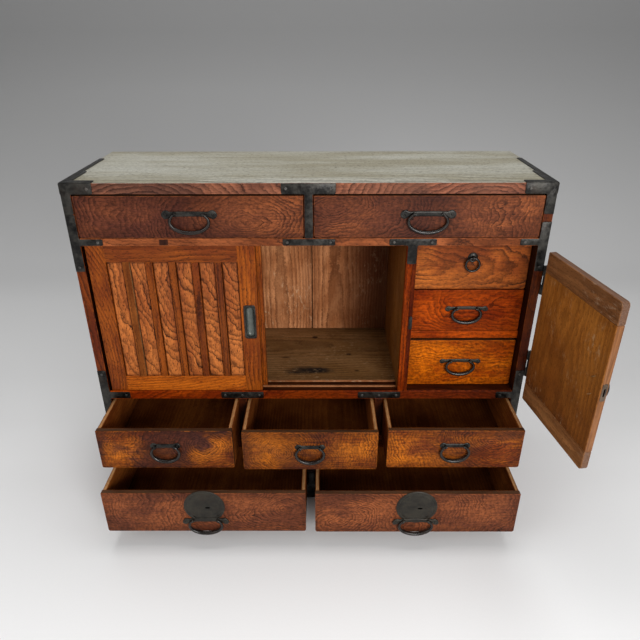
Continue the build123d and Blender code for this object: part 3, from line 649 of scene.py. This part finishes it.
shelf = Boards("drawer_shelf")
shelf.add(BREADTH, (FRONT, FRONT + DRAWER_RAIL), (BOTTOM_CEILING, MIDDLE_LEVEL), "x", sawn(0.5, 0.8))
shelf.add(BREADTH, (FRONT + DRAWER_RAIL, INNER_BACK), (MIDDLE_LEVEL - DRAWER_SHELF, MIDDLE_LEVEL),
          "x", sawn(0.4, 0.8))
shelf.finish(case_wood)

uprights = Boards("uprights")
for middle, levels, light in (
    (0, (TOP_LEVEL, TOP_CEILING), 0.6),
    (-MIDDLE_DIVIDER_X, (MIDDLE_LEVEL, MIDDLE_CEILING), 0.35),
    (MIDDLE_DIVIDER_X, (MIDDLE_LEVEL, MIDDLE_CEILING), 0.35),
    (0, (BOTTOM_LEVEL, BOTTOM_CEILING), 0.35),
):
    uprights.add(about(middle, HALF_DIVIDER), DEPTH, levels, "z", sawn(light, 0.8))
BAY_LEVELS = (BAY_LEVEL, BAY_CEILING)
STOP_DEPTH, STOP_SPLIT = 14, BAY_LEFT + 11
wall = Boards("uprights", "uprights_wall")
wall.add((BAY_LEFT, BAY_RIGHT), (FRONT + STOP_DEPTH, INNER_BACK), BAY_LEVELS, "z", sawn(0.8, 0.4))
wall.finish(leaf_wood)
uprights.finish(case_wood)
stop = Boards("uprights", "uprights_stop")
for x, light, stain in (((BAY_LEFT, STOP_SPLIT), 0.85, 0.1), ((STOP_SPLIT, BAY_RIGHT), 0.6, 0.5)):
    stop.add(x, (FRONT, FRONT + STOP_DEPTH), BAY_LEVELS, "z", sawn(light, stain, 0.5))
stop.finish(red_wood)

small = Boards("small_drawer_shelves")
small.add((BAY_RIGHT, INNER_X), (FRONT + SMALL_SETBACK, INNER_BACK),
          about(SMALL_SPLIT, HALF_SMALL_SHELF), "x", sawn(0.6, 0.4))
small.add((BAY_RIGHT, INNER_X), (FRONT + SMALL_RAIL_SETBACK, INNER_BACK), SMALL_RAIL, "x", sawn(1.1, 0.0))
small.finish(red_wood)

# The lower shelf: its rail with the front lip, the bed of the tracks with two more lips,
# and the floor behind
front_track, rear_track = TRACKS
BED = BAY_LEVEL - TRACK_DEPTH
SHELF_LEVELS = (MIDDLE_CEILING, BAY_LEVEL)
sill_depth = (front_track[0], SILL_BACK)
rail = Boards("lower_shelf", "lower_shelf_rail")
rail.add(BREADTH, (FRONT, front_track[0]), SHELF_LEVELS, "x",
         Figure(-70, 60, 0.3, 1.0, 1.1, (0.0, 0.5, 1.0)))
rail.finish(red_wood)
sill = Boards("lower_shelf")
sill.add((-INNER_X, BAY_LEFT), sill_depth, (MIDDLE_CEILING, BED), "x", sawn(0.35, 0.8))
sill.add((BAY_LEFT, INNER_X), sill_depth, SHELF_LEVELS, "x", sawn(0.4, 0.8))
sill.finish(case_wood)
lips = Boards("lower_shelf", "lower_shelf_lips")
for lip in ((front_track[1], rear_track[0]), (rear_track[1], SILL_BACK)):
    lips.add((-INNER_X, BAY_LEFT), lip, (BED, BAY_LEVEL), "x", sawn(0.9, 0.0))
lips.finish(plank_wood)
ground = Boards("lower_shelf", "lower_shelf_floor")
ground.add(BREADTH, (SILL_BACK, INNER_BACK), SHELF_LEVELS, "x",
           Figure(30, -60, 0.02, 1, 0.7, (0.0, 0.3, 0.9)))
ground.finish(floor_wood)

# The upper shelf with its tracks, and the end of a peg in its edge
HEAD_LEVELS = (BAY_CEILING - OVERRUN, BAY_CEILING + HEAD_TRACK_DEPTH)
HEAD_RUN = (-INNER_X - OVERRUN, BAY_LEFT)
head_cuts = [[Vector(corner) * MM for corner in zip(HEAD_RUN, track, HEAD_LEVELS)] for track in TRACKS]
head = Boards("upper_shelf")
head.add(BREADTH, DEPTH, (BAY_CEILING, TOP_LEVEL), "x",
         Figure(-40, 50, 0.25, 1.1, 1.2, (0.2, 0.3, 0.1)), shape=partial(carved, cuts=head_cuts))
PEG_X, PEG_DEPTH, PEG_Z = about(-277, 8.5), (FRONT - 0.3, FRONT + 1), about(644.5, 6)
head.add(PEG_X, PEG_DEPTH, PEG_Z, "z", sawn(0.4, 0.9), FINE_EASE)
head.finish(rail_wood)


# Drawers

FRONTS = {
    "top_left": Figure(-10, 60, 0.6, 0.95, 1.3, (0.85, 0.85, 0.1)),
    "top_right": Figure(20, -110, 0.6, 0.95, 1.4, (0.5, 0.85, 0.0)),
    "bottom_left": Figure(10, 100, 0.6, 0.92, 1.4, (0.35, 0.45, 0.2)),
    "bottom_right": Figure(-20, -120, 0.7, 0.95, 1.4, (0.3, 0.4, 0.4)),
    "middle_left": Figure(6, 50, 0.7, 0.76, 1.6, (0.75, 0.55, 0.85)),
    "middle_centre": Figure(-10, -60, 0.9, 0.66, 1.6, (0.4, 0.35, 0.0)),
    "middle_right": Figure(14, 60, 0.8, 0.82, 1.5, (0.1, 0.3, 0.6)),
    "small_lower": Figure(-20, -36, 0.12, 0.95, 1.2, (0.0, 0.0, 0.0)),
    "small_middle": Figure(16, -44, -0.15, 0.95, 1.2, (0.0, 0.2, 0.2)),
    "small_upper": Figure(4, -40, 0.25, 1.0, 1.3, (0.0, 0.4, 0.6)),
}
FRONT_WOODS = {"small_upper": amber_wood, "small_middle": red_wood, "small_lower": golden_wood,
               "top": brown_wood, "middle": front_wood, "bottom": brown_wood}
FRONT_THICKNESS, TOP_HEAD_ROOM = 11, 1.5
BOX_SIDE, BOX_BACK, BOX_FLOOR, BOX_BACK_DROP = 8, 9, (3, 10), 8
for name, figure in FRONTS.items():
    row = name.split("_")[0]
    lo, hi = [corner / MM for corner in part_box(name + "_drawer_front")]
    box_front = lo.y + FRONT_THICKNESS
    board = Boards(name + "_drawer_front")
    front_top = hi.z - (TOP_HEAD_ROOM if row == "top" else 0)
    board.add((lo.x, hi.x), (lo.y, box_front), (lo.z, front_top), "x", figure,
              shape=worn_front, seed=own_seed(name))
    board.finish(FRONT_WOODS[name if row == "small" else row])

    lo, hi = [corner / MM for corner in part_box(name + "_drawer_box")]
    box = Boards(name + "_drawer_box")
    box_depth = (box_front, hi.y)
    within = (lo.x + BOX_SIDE, hi.x - BOX_SIDE)
    floor_levels = [lo.z + level for level in BOX_FLOOR]
    for side in ((lo.x, within[0]), (within[1], hi.x)):
        box.add(side, box_depth, (lo.z, hi.z), "y", sawn(draw.uniform(0.85, 1.1), 0.3, 0.5, 60))
    box.add(within, box_depth, floor_levels, "y", sawn(0.8, 0.5, 0.5, 60))
    box.add(within, (hi.y - BOX_BACK, hi.y), (floor_levels[1], hi.z - BOX_BACK_DROP), "x",
            sawn(0.8, 0.4, 0.5, 60))
    box.finish(box_wood)


# Sliding doors

FRAME_WIDTH, MULLION, MULLION_DEPTH = 35, 13, 12
STRIP_DEPTH, STRIP_CHAMFER = (2.3, 9.5), 3.5
POCKET_RIM, POCKET_SLACK = Vector((2.9, 0, 2.9)) * MM, Vector((0, 0.2 * MM, 0))
STRIP_FIGURE = Figure(150, -110, -0.8, 1.0, 1.2, (0.2, 0.25, 0.45))
# Lightness and stain of each mullion
MULLION_TONES = ((0.85, 0.0), (0.85, 0.3), (0.8, 0.4), (0.85, 0.4), (0.75, 0.6))
MULLIONS = len(MULLION_TONES)
for name in ("front_sliding_door", "rear_sliding_door"):
    lo, hi = [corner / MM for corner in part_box(name)]
    door = Boards(name)
    pull_lo, pull_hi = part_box(name.replace("sliding_door", "door_pull"))
    pocket = (pull_lo + POCKET_RIM, pull_hi - POCKET_RIM + POCKET_SLACK)
    depth = (lo.y, hi.y)
    inner = (lo.x + FRAME_WIDTH, hi.x - FRAME_WIDTH)
    rails = (BAY_LEVEL + FRAME_WIDTH, BAY_CEILING - FRAME_WIDTH)
    for x, figure in (((lo.x, inner[0]), Figure(-150, -60, 0.55, 0.85, 0.5, even(0.3))),
                      ((inner[1], hi.x), sawn(0.85, 0.1, 0.7, 40))):
        pulled = x[0] * MM < pull_lo.x < x[1] * MM
        shape = partial(carved, cuts=[pocket]) if pulled else eased_box
        door.add(x, depth, (lo.z, hi.z), "z", figure, shape=shape)
    door.add(inner, depth, (lo.z, rails[0]), "x", Figure(120, -60, 0.35, 1.15, 0.8, even(0.0)))
    door.add(inner, depth, (rails[1], hi.z), "x", sawn(0.85, 0.5, 0.7, 40))

    # Strips cut from one figured panel, with mullions between them, the first of paler wood
    strips = Boards(name, name + "_strips")
    pale = Boards(name, name + "_pale_mullion")
    strip = (inner[1] - inner[0] - MULLIONS * MULLION) / (MULLIONS + 1)
    strip_depth = [lo.y + inset for inset in STRIP_DEPTH]
    panel = (inner, depth, rails)
    seed = own_seed(name)
    for index in range(MULLIONS + 1):
        left = inner[0] + index * (strip + MULLION)
        right = left + strip
        strips.add((left, right), strip_depth, rails, "z", STRIP_FIGURE, STRIP_CHAMFER,
                   raised_strip, panel, seed)
        if index < MULLIONS:
            holder = pale if index == 0 else door
            holder.add((right, right + MULLION), (lo.y, lo.y + MULLION_DEPTH), rails, "z",
                       sawn(*MULLION_TONES[index], 0.3, 50))
    door.finish(door_wood)
    strips.finish(strip_wood)
    pale.finish(box_wood)


# Hinged door, made as it lies closed and swung about its pins

SIDE_GAP, HEAD_GAP, DOOR_FACE, DOOR_THICKNESS = 1.2, 1.8, 2.35, 14
BATTEN, DOOR_CORNER, DOOR_EASE = 40, 7, 1.6
span = (BAY_RIGHT + SIDE_GAP - PIN[0], INNER_X - SIDE_GAP - PIN[0])
low, high = BAY_LEVEL + HEAD_GAP, BAY_CEILING - HEAD_GAP
door_depth = (DOOR_FACE, DOOR_FACE + DOOR_THICKNESS)
open_turn = Matrix.Rotation(radians(DOOR_OPEN), 4, "Z")
swung = Matrix.Translation(Vector((*PIN, 0)) * MM) @ open_turn
door = Boards("hinged_door")
door.add(span, door_depth, (low + BATTEN, high - BATTEN), "z",
         Figure(20, -70, 0.02, 1.0, 0.9, (0.8, 0.5, 0.1)), DOOR_EASE)
door.finish(leaf_wood, swung)
battens = Boards("hinged_door", "hinged_door_battens")
for levels, corner, light, stain in (((low, low + BATTEN), low, 1.05, 0.1),
                                     ((high - BATTEN, high), high, 0.95, 0.4)):
    rounded = partial(rounded_corner, corner_z=corner * MM, radius=DOOR_CORNER * MM)
    battens.add(span, door_depth, levels, "x", sawn(light, stain, 0.7, 50), DOOR_EASE, rounded)
battens.finish(batten_wood, swung)


# Forged fittings

fitting = partial(show, smooth=True)

# Radius of the CAD bails, reach of the eyes, radius of their shanks, and where a bail starts
# inside its eye
BAR, EYE_REACH, SHANK = 2.5, 6, 1.8
BAIL_STARTS = (3.2, 1.2)
BAIL_STEPS, PLATE_COLUMNS, OUTLINE_POINTS, DISC_SIDES = 20, 48, 64, 64
# Heights across a plate, from its lower edge to its upper one, and how far its edges fall away
PLATE_LINES = (-1, -0.93, -0.75, -0.4, 0, 0.4, 0.75, 0.93, 1)
PLATE_FALL = 1.2
NAIL_PROFILE = ((1, 0), (0.95, 0.3), (0.7, 0.6), (0.3, 0.75))


def turns(sides):
    """Angles spaced evenly over a full turn."""
    return [2 * pi * step / sides for step in range(sides)]


def skin(mesh, rows, first=True, last=True):
    """Faces between rings of points given in millimetres, and over the first and the last ring."""
    made = [[mesh.verts.new(Vector(point) * MM) for point in row] for row in rows]
    for lower, upper in zip(made, made[1:]):
        for index in range(len(lower)):
            mesh.faces.new((lower[index - 1], lower[index], upper[index], upper[index - 1]))
    if first:
        mesh.faces.new(made[0])
    if last:
        mesh.faces.new(list(reversed(made[-1])))


def bar(mesh, points, radii, at, sides=12):
    """A round bar along points in an upright plane, closed at both ends."""
    rows = []
    backward = Vector((0, 1, 0))
    for index, (x, z) in enumerate(points):
        before, after = points[max(index - 1, 0)], points[min(index + 1, len(points) - 1)]
        ahead = Vector((after[0] - before[0], 0, after[1] - before[1])).normalized()
        beside = Vector((-ahead.z, 0, ahead.x))
        middle = at + Vector((x, 0, z))
        rows.append([middle + radii[index] * (beside * cos(turn) + backward * sin(turn))
                     for turn in turns(sides)])
    skin(mesh, rows)


def bail_path(eye_span, width, drop):
    """The right half of a hanging bail, from inside its eye to the middle of its foot,
    about the eyes' line."""
    half = width / 2 - BAR
    start = acos(eye_span / 2 / half)
    depth = (drop - BAR) / (1 + sin(start))
    points = [(eye_span / 2 - inside, 0) for inside in BAIL_STARTS]
    for step in range(BAIL_STEPS + 1):
        turn = start - (start + pi / 2) * step / BAIL_STEPS
        points.append((half * cos(turn), depth * (sin(turn) - sin(start))))
    return points


def lobed_plate(mesh, at, width, height, lobe, droop, thickness):
    """A back plate: a bar with a drop at each end, its wings hanging by droop,
    its face softly domed."""
    reach = width / 2
    rows = []
    for step in range(PLATE_COLUMNS + 1):
        x = -reach * cos(pi * step / PLATE_COLUMNS)
        beside = abs(x) - (reach - lobe)
        drop = sqrt(max(lobe * lobe - beside * beside, 0)) if abs(beside) < lobe else 0
        straight = height / 2 if beside < 0 else 0
        half = (drop ** 6 + straight ** 6) ** (1 / 6)
        middle = -droop * (x / reach) ** 2
        face = [(share, PLATE_FALL * abs(share) ** 8 - thickness) for share in PLATE_LINES]
        rows.append([at + Vector((x, y, middle + share * half)) for share, y in face + [(1, 0), (-1, 0)]])
    skin(mesh, rows)


def circle(at, y, wide, tall, sides):
    """Points round an upright circle or ellipse, given by its half width and half height."""
    return [at + Vector((wide * cos(turn), y, tall * sin(turn))) for turn in turns(sides)]


def disc(mesh, at, profile, hole=None):
    """A turned plate given by radius and height pairs, its inside closed or left open as a slot
    of a width and height, at a place beside the middle."""
    rows = [circle(at, -height, radius, radius, DISC_SIDES) for radius, height in profile]
    if hole:
        width, tall, beside, above = hole
        slot_at = at + Vector((beside, 0, above))
        rows = [circle(slot_at, -height, width / 2, tall / 2, DISC_SIDES)
                for height in (0.2, profile[0][1])] + rows
    skin(mesh, rows)


def eye(mesh, at, ring=2.9, wire=1.2):
    """An eye on a short shank: a ring across X that stands out of the plate."""
    section = [(cos(turn), sin(turn)) for turn in turns(8)]
    rows = []
    for turn in turns(16):
        outward = Vector((0, cos(turn), sin(turn)))
        rows.append([at + outward * (ring + wire * out) + Vector((1.4 * wire * beside, 0, 0))
                     for out, beside in section])
    skin(mesh, rows + rows[:1], False, False)
    skin(mesh, [circle(at, y, SHANK, SHANK, len(section)) for y in (ring, EYE_REACH)])


def nail_head(mesh, at, radius):
    """A low round head on a face that looks along -Y."""
    skin(mesh, [circle(at, -radius * height, radius * share, radius * share, 12)
                for share, height in NAIL_PROFILE])


def rounded_outline(width, height, radius):
    """Points spaced evenly round a rectangle with round corners, from the middle of its right
    side. Each quarter is a straight run and the corner after it."""
    across, up = width / 2 - radius, height / 2 - radius
    corners = ((across, up), (-across, up), (-across, -up), (across, -up))
    bend = pi * radius / 2
    lengths = (2 * up + bend, 2 * across + bend) * 2
    points = []
    for step in range(OUTLINE_POINTS):
        distance = (up + sum(lengths) * step / OUTLINE_POINTS) % sum(lengths)
        quarter = 0
        while quarter < 3 and distance > lengths[quarter]:
            distance -= lengths[quarter]
            quarter += 1
        past_run = distance - (lengths[quarter] - bend)
        start = quarter * pi / 2
        turn = start + max(past_run, 0) / radius
        before = min(past_run, 0)
        x, z = corners[quarter]
        points.append((x + radius * cos(turn) - before * sin(start),
                       z + radius * sin(turn) + before * cos(start)))
    return points


# Handles of the drawers
Handle = namedtuple("Handle", "iron eye_span plate_width plate_height lobe droop thickness")
HANDLES = {
    "top": Handle(plate_iron, 54, 104, 10, 8.5, 2, 1.6),
    "small": Handle(lock_iron, 42, 88, 8, 6, 2.5, 1.6),
    "middle": Handle(plate_iron, 40, 62, 9.5, 7, 0, 1.6),
    "bottom": Handle(lock_iron, 53, 98, 10, 7.5, 7, 3.3),
}
PLATE_NAIL, NAIL_SINK, NAIL_DROOP = 1.9, 0.1, 0.7
RING_EYE = (4.1, 1.3)
LOCK_DROP = 36
KEYHOLE, KEYHOLE_SHADOW_DISC = (11, 4.6, 7, -2), ((2, 0.4), (20, 0.4), (20, 0))
LOCK_PROFILE = ((30, 1.9), (36, 1.8), (36.8, 1.3), (38.2, 1.3), (39, 1.9), (41.6, 1.7), (43, 0.8),
                (43, 0))
ROSETTE_PROFILE = ((2, 1.6), (6.5, 1.5), (7, 1.1), (8, 1.1), (8.6, 1.5), (9.6, 1.2), (10, 0.6), (10, 0))
# Radius of a bail at its eyes, and how much it swells towards its foot
BAIL_THIN, BAIL_SWELL = 1.9, 2.1

for name in FRONTS:
    at = Vector(joint_at[name + "_bail_swing"]) / MM
    plate_at = at + Vector((0, EYE_REACH, 0))
    plate = bmesh.new()
    node = name + "_handle_plate"
    if name == "small_upper":
        disc(plate, plate_at, ROSETTE_PROFILE)
        eye(plate, at, *RING_EYE)
        fitting(node + "_forged", node, plate, plate_iron)
        continue
    row = name.split("_")[0]
    handle = HANDLES[row]
    lobed_plate(plate, plate_at, *handle[2:])
    for side in (-1, 1):
        eye(plate, at + Vector((side * handle.eye_span / 2, 0, 0)))
        nail_at = Vector((side * (handle.plate_width / 2 - handle.lobe),
                          NAIL_SINK - handle.thickness, -handle.droop * NAIL_DROOP))
        nail_head(plate, plate_at + nail_at, PLATE_NAIL)
    if row == "bottom":
        lock_at = plate_at.copy()
        lock_at.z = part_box(name + "_drawer_front")[1].z / MM - LOCK_DROP
        lock, keyhole_shadow = bmesh.new(), bmesh.new()
        disc(lock, lock_at, LOCK_PROFILE, KEYHOLE)
        fitting(name + "_lock_plate", node, lock, lock_iron)
        # A near-black disc behind the keyhole: painted shadow in the hole
        disc(keyhole_shadow, lock_at, KEYHOLE_SHADOW_DISC)
        fitting(name + "_keyhole", node, keyhole_shadow, shadow_black_iron)
    fitting(node + "_forged", node, plate, handle.iron)

    node = name + "_bail"
    lo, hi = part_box(node)
    half_path = bail_path(handle.eye_span, (hi.x - lo.x) / MM, at.z - lo.z / MM)
    path = half_path + [(-x, z) for x, z in reversed(half_path[:-1])]
    count = len(path)
    shares = [min(index, count - 1 - index) / (count / 2) for index in range(count)]
    radii = [BAIL_THIN + BAIL_SWELL * min(1, share * 1.15) ** 0.9 for share in shares]
    bail = bmesh.new()
    bar(bail, path, radii, at)
    fitting(node + "_bar", node, bail, bail_iron)


# Finger pulls: a nailed rim round a trough with round ends
PULL_RIM_WIDTH, PULL_FACE = 2.6, 1.5
PULL_NAIL, PULL_NAIL_INSET, PULL_NAIL_Y = 1.1, 2.3, -1.4
# Inset, depth and corner of the rim's rings, and inset and depth of the trough's
PULL_RIM = ((0, 0, 4), (0, -1.1, 4), (0.5, -1.5, 3.5))
PULL_TROUGH = ((0, -1.5), (0.5, -1.2), (0.8, -0.4), (1, 1), (1.5, 2.8), (2.4, 4.4), (3.6, 5.6),
               (5.2, 6.5), (6.8, 6.9))
LAST_RIM_ROW = 6
for node in ("front_door_pull", "rear_door_pull"):
    lo, hi = [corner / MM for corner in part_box(node)]
    width, height = hi.x - lo.x, hi.z - lo.z
    middle = Vector(((lo.x + hi.x) / 2, lo.y + PULL_FACE, (lo.z + hi.z) / 2))
    rings = [(rounded_outline(width - 2 * inset, height - 2 * inset, corner), y)
             for inset, y, corner in PULL_RIM]
    for inset, y in PULL_TROUGH:
        wide, tall = [size - 2 * PULL_RIM_WIDTH - 2 * inset for size in (width, height)]
        rings.append((rounded_outline(wide, tall, wide / 2 - 0.05), y))
    rows = [[middle + Vector((x, y, z)) for x, z in ring] for ring, y in rings]
    frame_ring, trough_bed = bmesh.new(), bmesh.new()
    skin(frame_ring, rows[:LAST_RIM_ROW + 1], False, False)
    skin(trough_bed, rows[LAST_RIM_ROW:], first=False)
    for side in (-1, 1):
        for end in (-1, 1):
            nail_at = Vector((side * (width / 2 - PULL_NAIL_INSET), PULL_NAIL_Y,
                              end * (height / 2 - PULL_NAIL_INSET)))
            nail_head(frame_ring, middle + nail_at, PULL_NAIL)
    fitting(node + "_rim", node, frame_ring, rim_iron)
    fitting(node + "_trough", node, trough_bed, pull_iron)


# Irons of the case: their CAD shape with the sharp edges eased
irons = bmesh.new()
thing = frame["nodes"]["case_irons"]
irons.from_mesh(thing.data)
bmesh.ops.transform(irons, matrix=thing.matrix_world, verts=irons.verts)
bmesh.ops.remove_doubles(irons, verts=irons.verts, dist=NEAR)
bmesh.ops.dissolve_limit(irons, angle_limit=0.02, verts=irons.verts, edges=irons.edges)
round_off(irons, sharp_edges(irons, IRON_ANGLE), IRON_EASE * MM, clamp=True)
fitting("case_irons_forged", "case_irons", irons, plate_iron)

# CAD nodes that show as they are
for node, material in (("case_nails", nail_iron), ("case_hinge_leaves", plate_iron),
                       ("hinged_door_leaves", plate_iron), ("small_upper_bail", bail_iron)):
    for material_slot in frame["nodes"][node].material_slots:
        material_slot.material = material


# Lock of the hinged door: a domed plate outside, an edge plate, and the clenched ends of its
# nails inside
LOCK_X = span[0] + 25.2
DOME_PROFILE = ((12, 7.4), (17, 7), (20.5, 5.9), (22.8, 3.6), (24, 1.2), (24, 0))
DOME_HOLE, DOME_BED = (5, 9, 0, 0), ((2, 0.4), (8, 0.4), (8, 0))
CLENCHED, CLENCHED_RADII = ((-5, 4), (-2, 1.6), (2, -1.6), (5, -4)), (0.6, 1.1, 1.1, 0.6)
CLENCHED_OFFSET, CLENCHED_PROUD = 17.5, 0.2
dome, clenched, edge_plate, bolt_hole = [bmesh.new() for _ in range(4)]
lock_at = Vector((LOCK_X, DOOR_FACE, BAY_MIDDLE))
disc(dome, lock_at, DOME_PROFILE, DOME_HOLE)
disc(dome, lock_at, DOME_BED)
inner_face = Vector((0, door_depth[1] + CLENCHED_PROUD, 0))
for middle in about(BAY_MIDDLE, CLENCHED_OFFSET):
    path = [(LOCK_X + x, middle + z) for x, z in CLENCHED]
    bar(clenched, path, CLENCHED_RADII, inner_face, 8)
outline, chamfer = rounded_outline(9, 34, 3), rounded_outline(8, 33, 2.6)
slot = rounded_outline(3, 16, 1.4)
edge_middle = Vector((span[0], DOOR_FACE + DOOR_THICKNESS / 2, BAY_MIDDLE))


def edge_rows(*rings):
    """Rows of points on the free edge, from outlines and how far each stands out."""
    return [[edge_middle + Vector((-out, y, z)) for y, z in ring] for ring, out in rings]


skin(edge_plate, edge_rows((outline, 0), (outline, 0.5), (chamfer, 0.8), (slot, 0.8), (slot, 0.1)),
     last=False)
# A near-black sheet in the bolt hole: painted shadow
skin(bolt_hole, edge_rows((slot, 0.05), (slot, 0.1)), first=False)
for name, mesh, material in (("lock_dome", dome, plate_iron), ("lock_nails", clenched, brass_iron),
                             ("edge_plate", edge_plate, worn_iron),
                             ("bolt_hole", bolt_hole, shadow_black_iron)):
    fitting("hinged_door_" + name, "hinged_door_lock", mesh, material, swung)


# Floor, lights and camera

# The floor's greys, by their place from the front of the floor to the top of the wall: painted light,
# lightest at the front where it lifts the chest's shadow, and darker up the wall as painted falloff
FLOOR_FALLOFF_TONES = ((0, 230), (0.14, 217), (0.19, 205), (0.26, 198), (0.43, 200), (0.56, 191),
               (0.76, 168), (0.91, 149), (1, 135))
FLOOR_FRONT, BEND_START, BEND, WALL_TOP, HALF_FLOOR, FLOOR_DROP = -4, 1.2, 0.9, 4, 5, 0.0002
g = Graph("floor_paper")
spot = g.node("ShaderNodeTexCoord").outputs["Object"]
_, back, up = g.split(spot)
behind = g.plus(back, g.times(up, 0.8))
paper_with_falloff = g.ramp(g.math("DIVIDE", g.plus(behind, 0.5), 3.4),
               [(place, tint((tone, tone, tone))) for place, tone in FLOOR_FALLOFF_TONES])
g.feed("Base Color", g.mix(g.noise(spot, 260), paper_with_falloff, (0.97, 0.97, 0.97, 1), "MULTIPLY"))
g.feed("Roughness", 0.85)
g.feed("Specular IOR Level", 0.1)
sweep = bmesh.new()
bends = [pi / 2 * step / 12 for step in range(13)]
profile = [(FLOOR_FRONT, 0)]
profile += [(BEND_START + BEND * sin(turn), BEND - BEND * cos(turn)) for turn in bends]
profile += [(BEND_START + BEND, WALL_TOP)]
left, right = [[sweep.verts.new((x, y, z - FLOOR_DROP)) for y, z in profile]
               for x in (-HALF_FLOOR, HALF_FLOOR)]
for index in range(len(profile) - 1):
    sweep.faces.new((left[index], right[index], right[index + 1], left[index + 1]))
data = mesh_data("floor", sweep)
data.shade_smooth()
data.materials.append(g.material)
floor = linked("floor", data)


def lamp(name, at, aim, size, power):
    light = bpy.data.lights.new(name, "AREA")
    light.shape = "RECTANGLE"
    light.size, light.size_y = size
    light.energy = power
    thing = linked(name, light)
    thing.location = at
    thing.rotation_euler = (Vector(aim) - Vector(at)).to_track_quat("-Z", "Y").to_euler()


lamp("key", (1.1, -3.0, 1.35), (0, 0, 0.45), (1.5, 1.1), 84)
lamp("fill", (-2.2, -1.9, 1.7), (0.1, 0, 0.4), (1.6, 1.6), 20)
lamp("top", (0.0, 0.3, 2.6), (0, -0.1, 0.7), (2.4, 1.4), 42)

world = bpy.data.worlds.new("studio")
world.use_nodes = True
background = world.node_tree.nodes["Background"].inputs
background["Color"].default_value = (0.8, 0.8, 0.8, 1)
background["Strength"].default_value = 0.4
bpy.context.scene.world = world

# The camera as solved from the photo: lens in pixels of the picture, place and turns
FOCAL, PICTURE, SENSOR = 574.7, 640, 36
CAMERA_AT = Vector((24.42, -1193.53, 1006.94)) * MM
PITCH, YAW, ROLL = map(radians, (26.89, -0.21, 0.15))
camera = bpy.data.cameras.new("camera")
camera.sensor_width = SENSOR
camera.lens = SENSOR * FOCAL / PICTURE
camera.clip_start = 0.05
place = Matrix.Translation(CAMERA_AT)
for angle, axis in ((-YAW, "Z"), (pi / 2 - PITCH, "X"), (-ROLL, "Z")):
    place = place @ Matrix.Rotation(angle, 4, axis)
view = linked("camera", camera)
view.matrix_world = place
bpy.context.scene.camera = view

bpy.context.scene.view_settings.view_transform = "Standard"

bpy.context.view_layer.update()
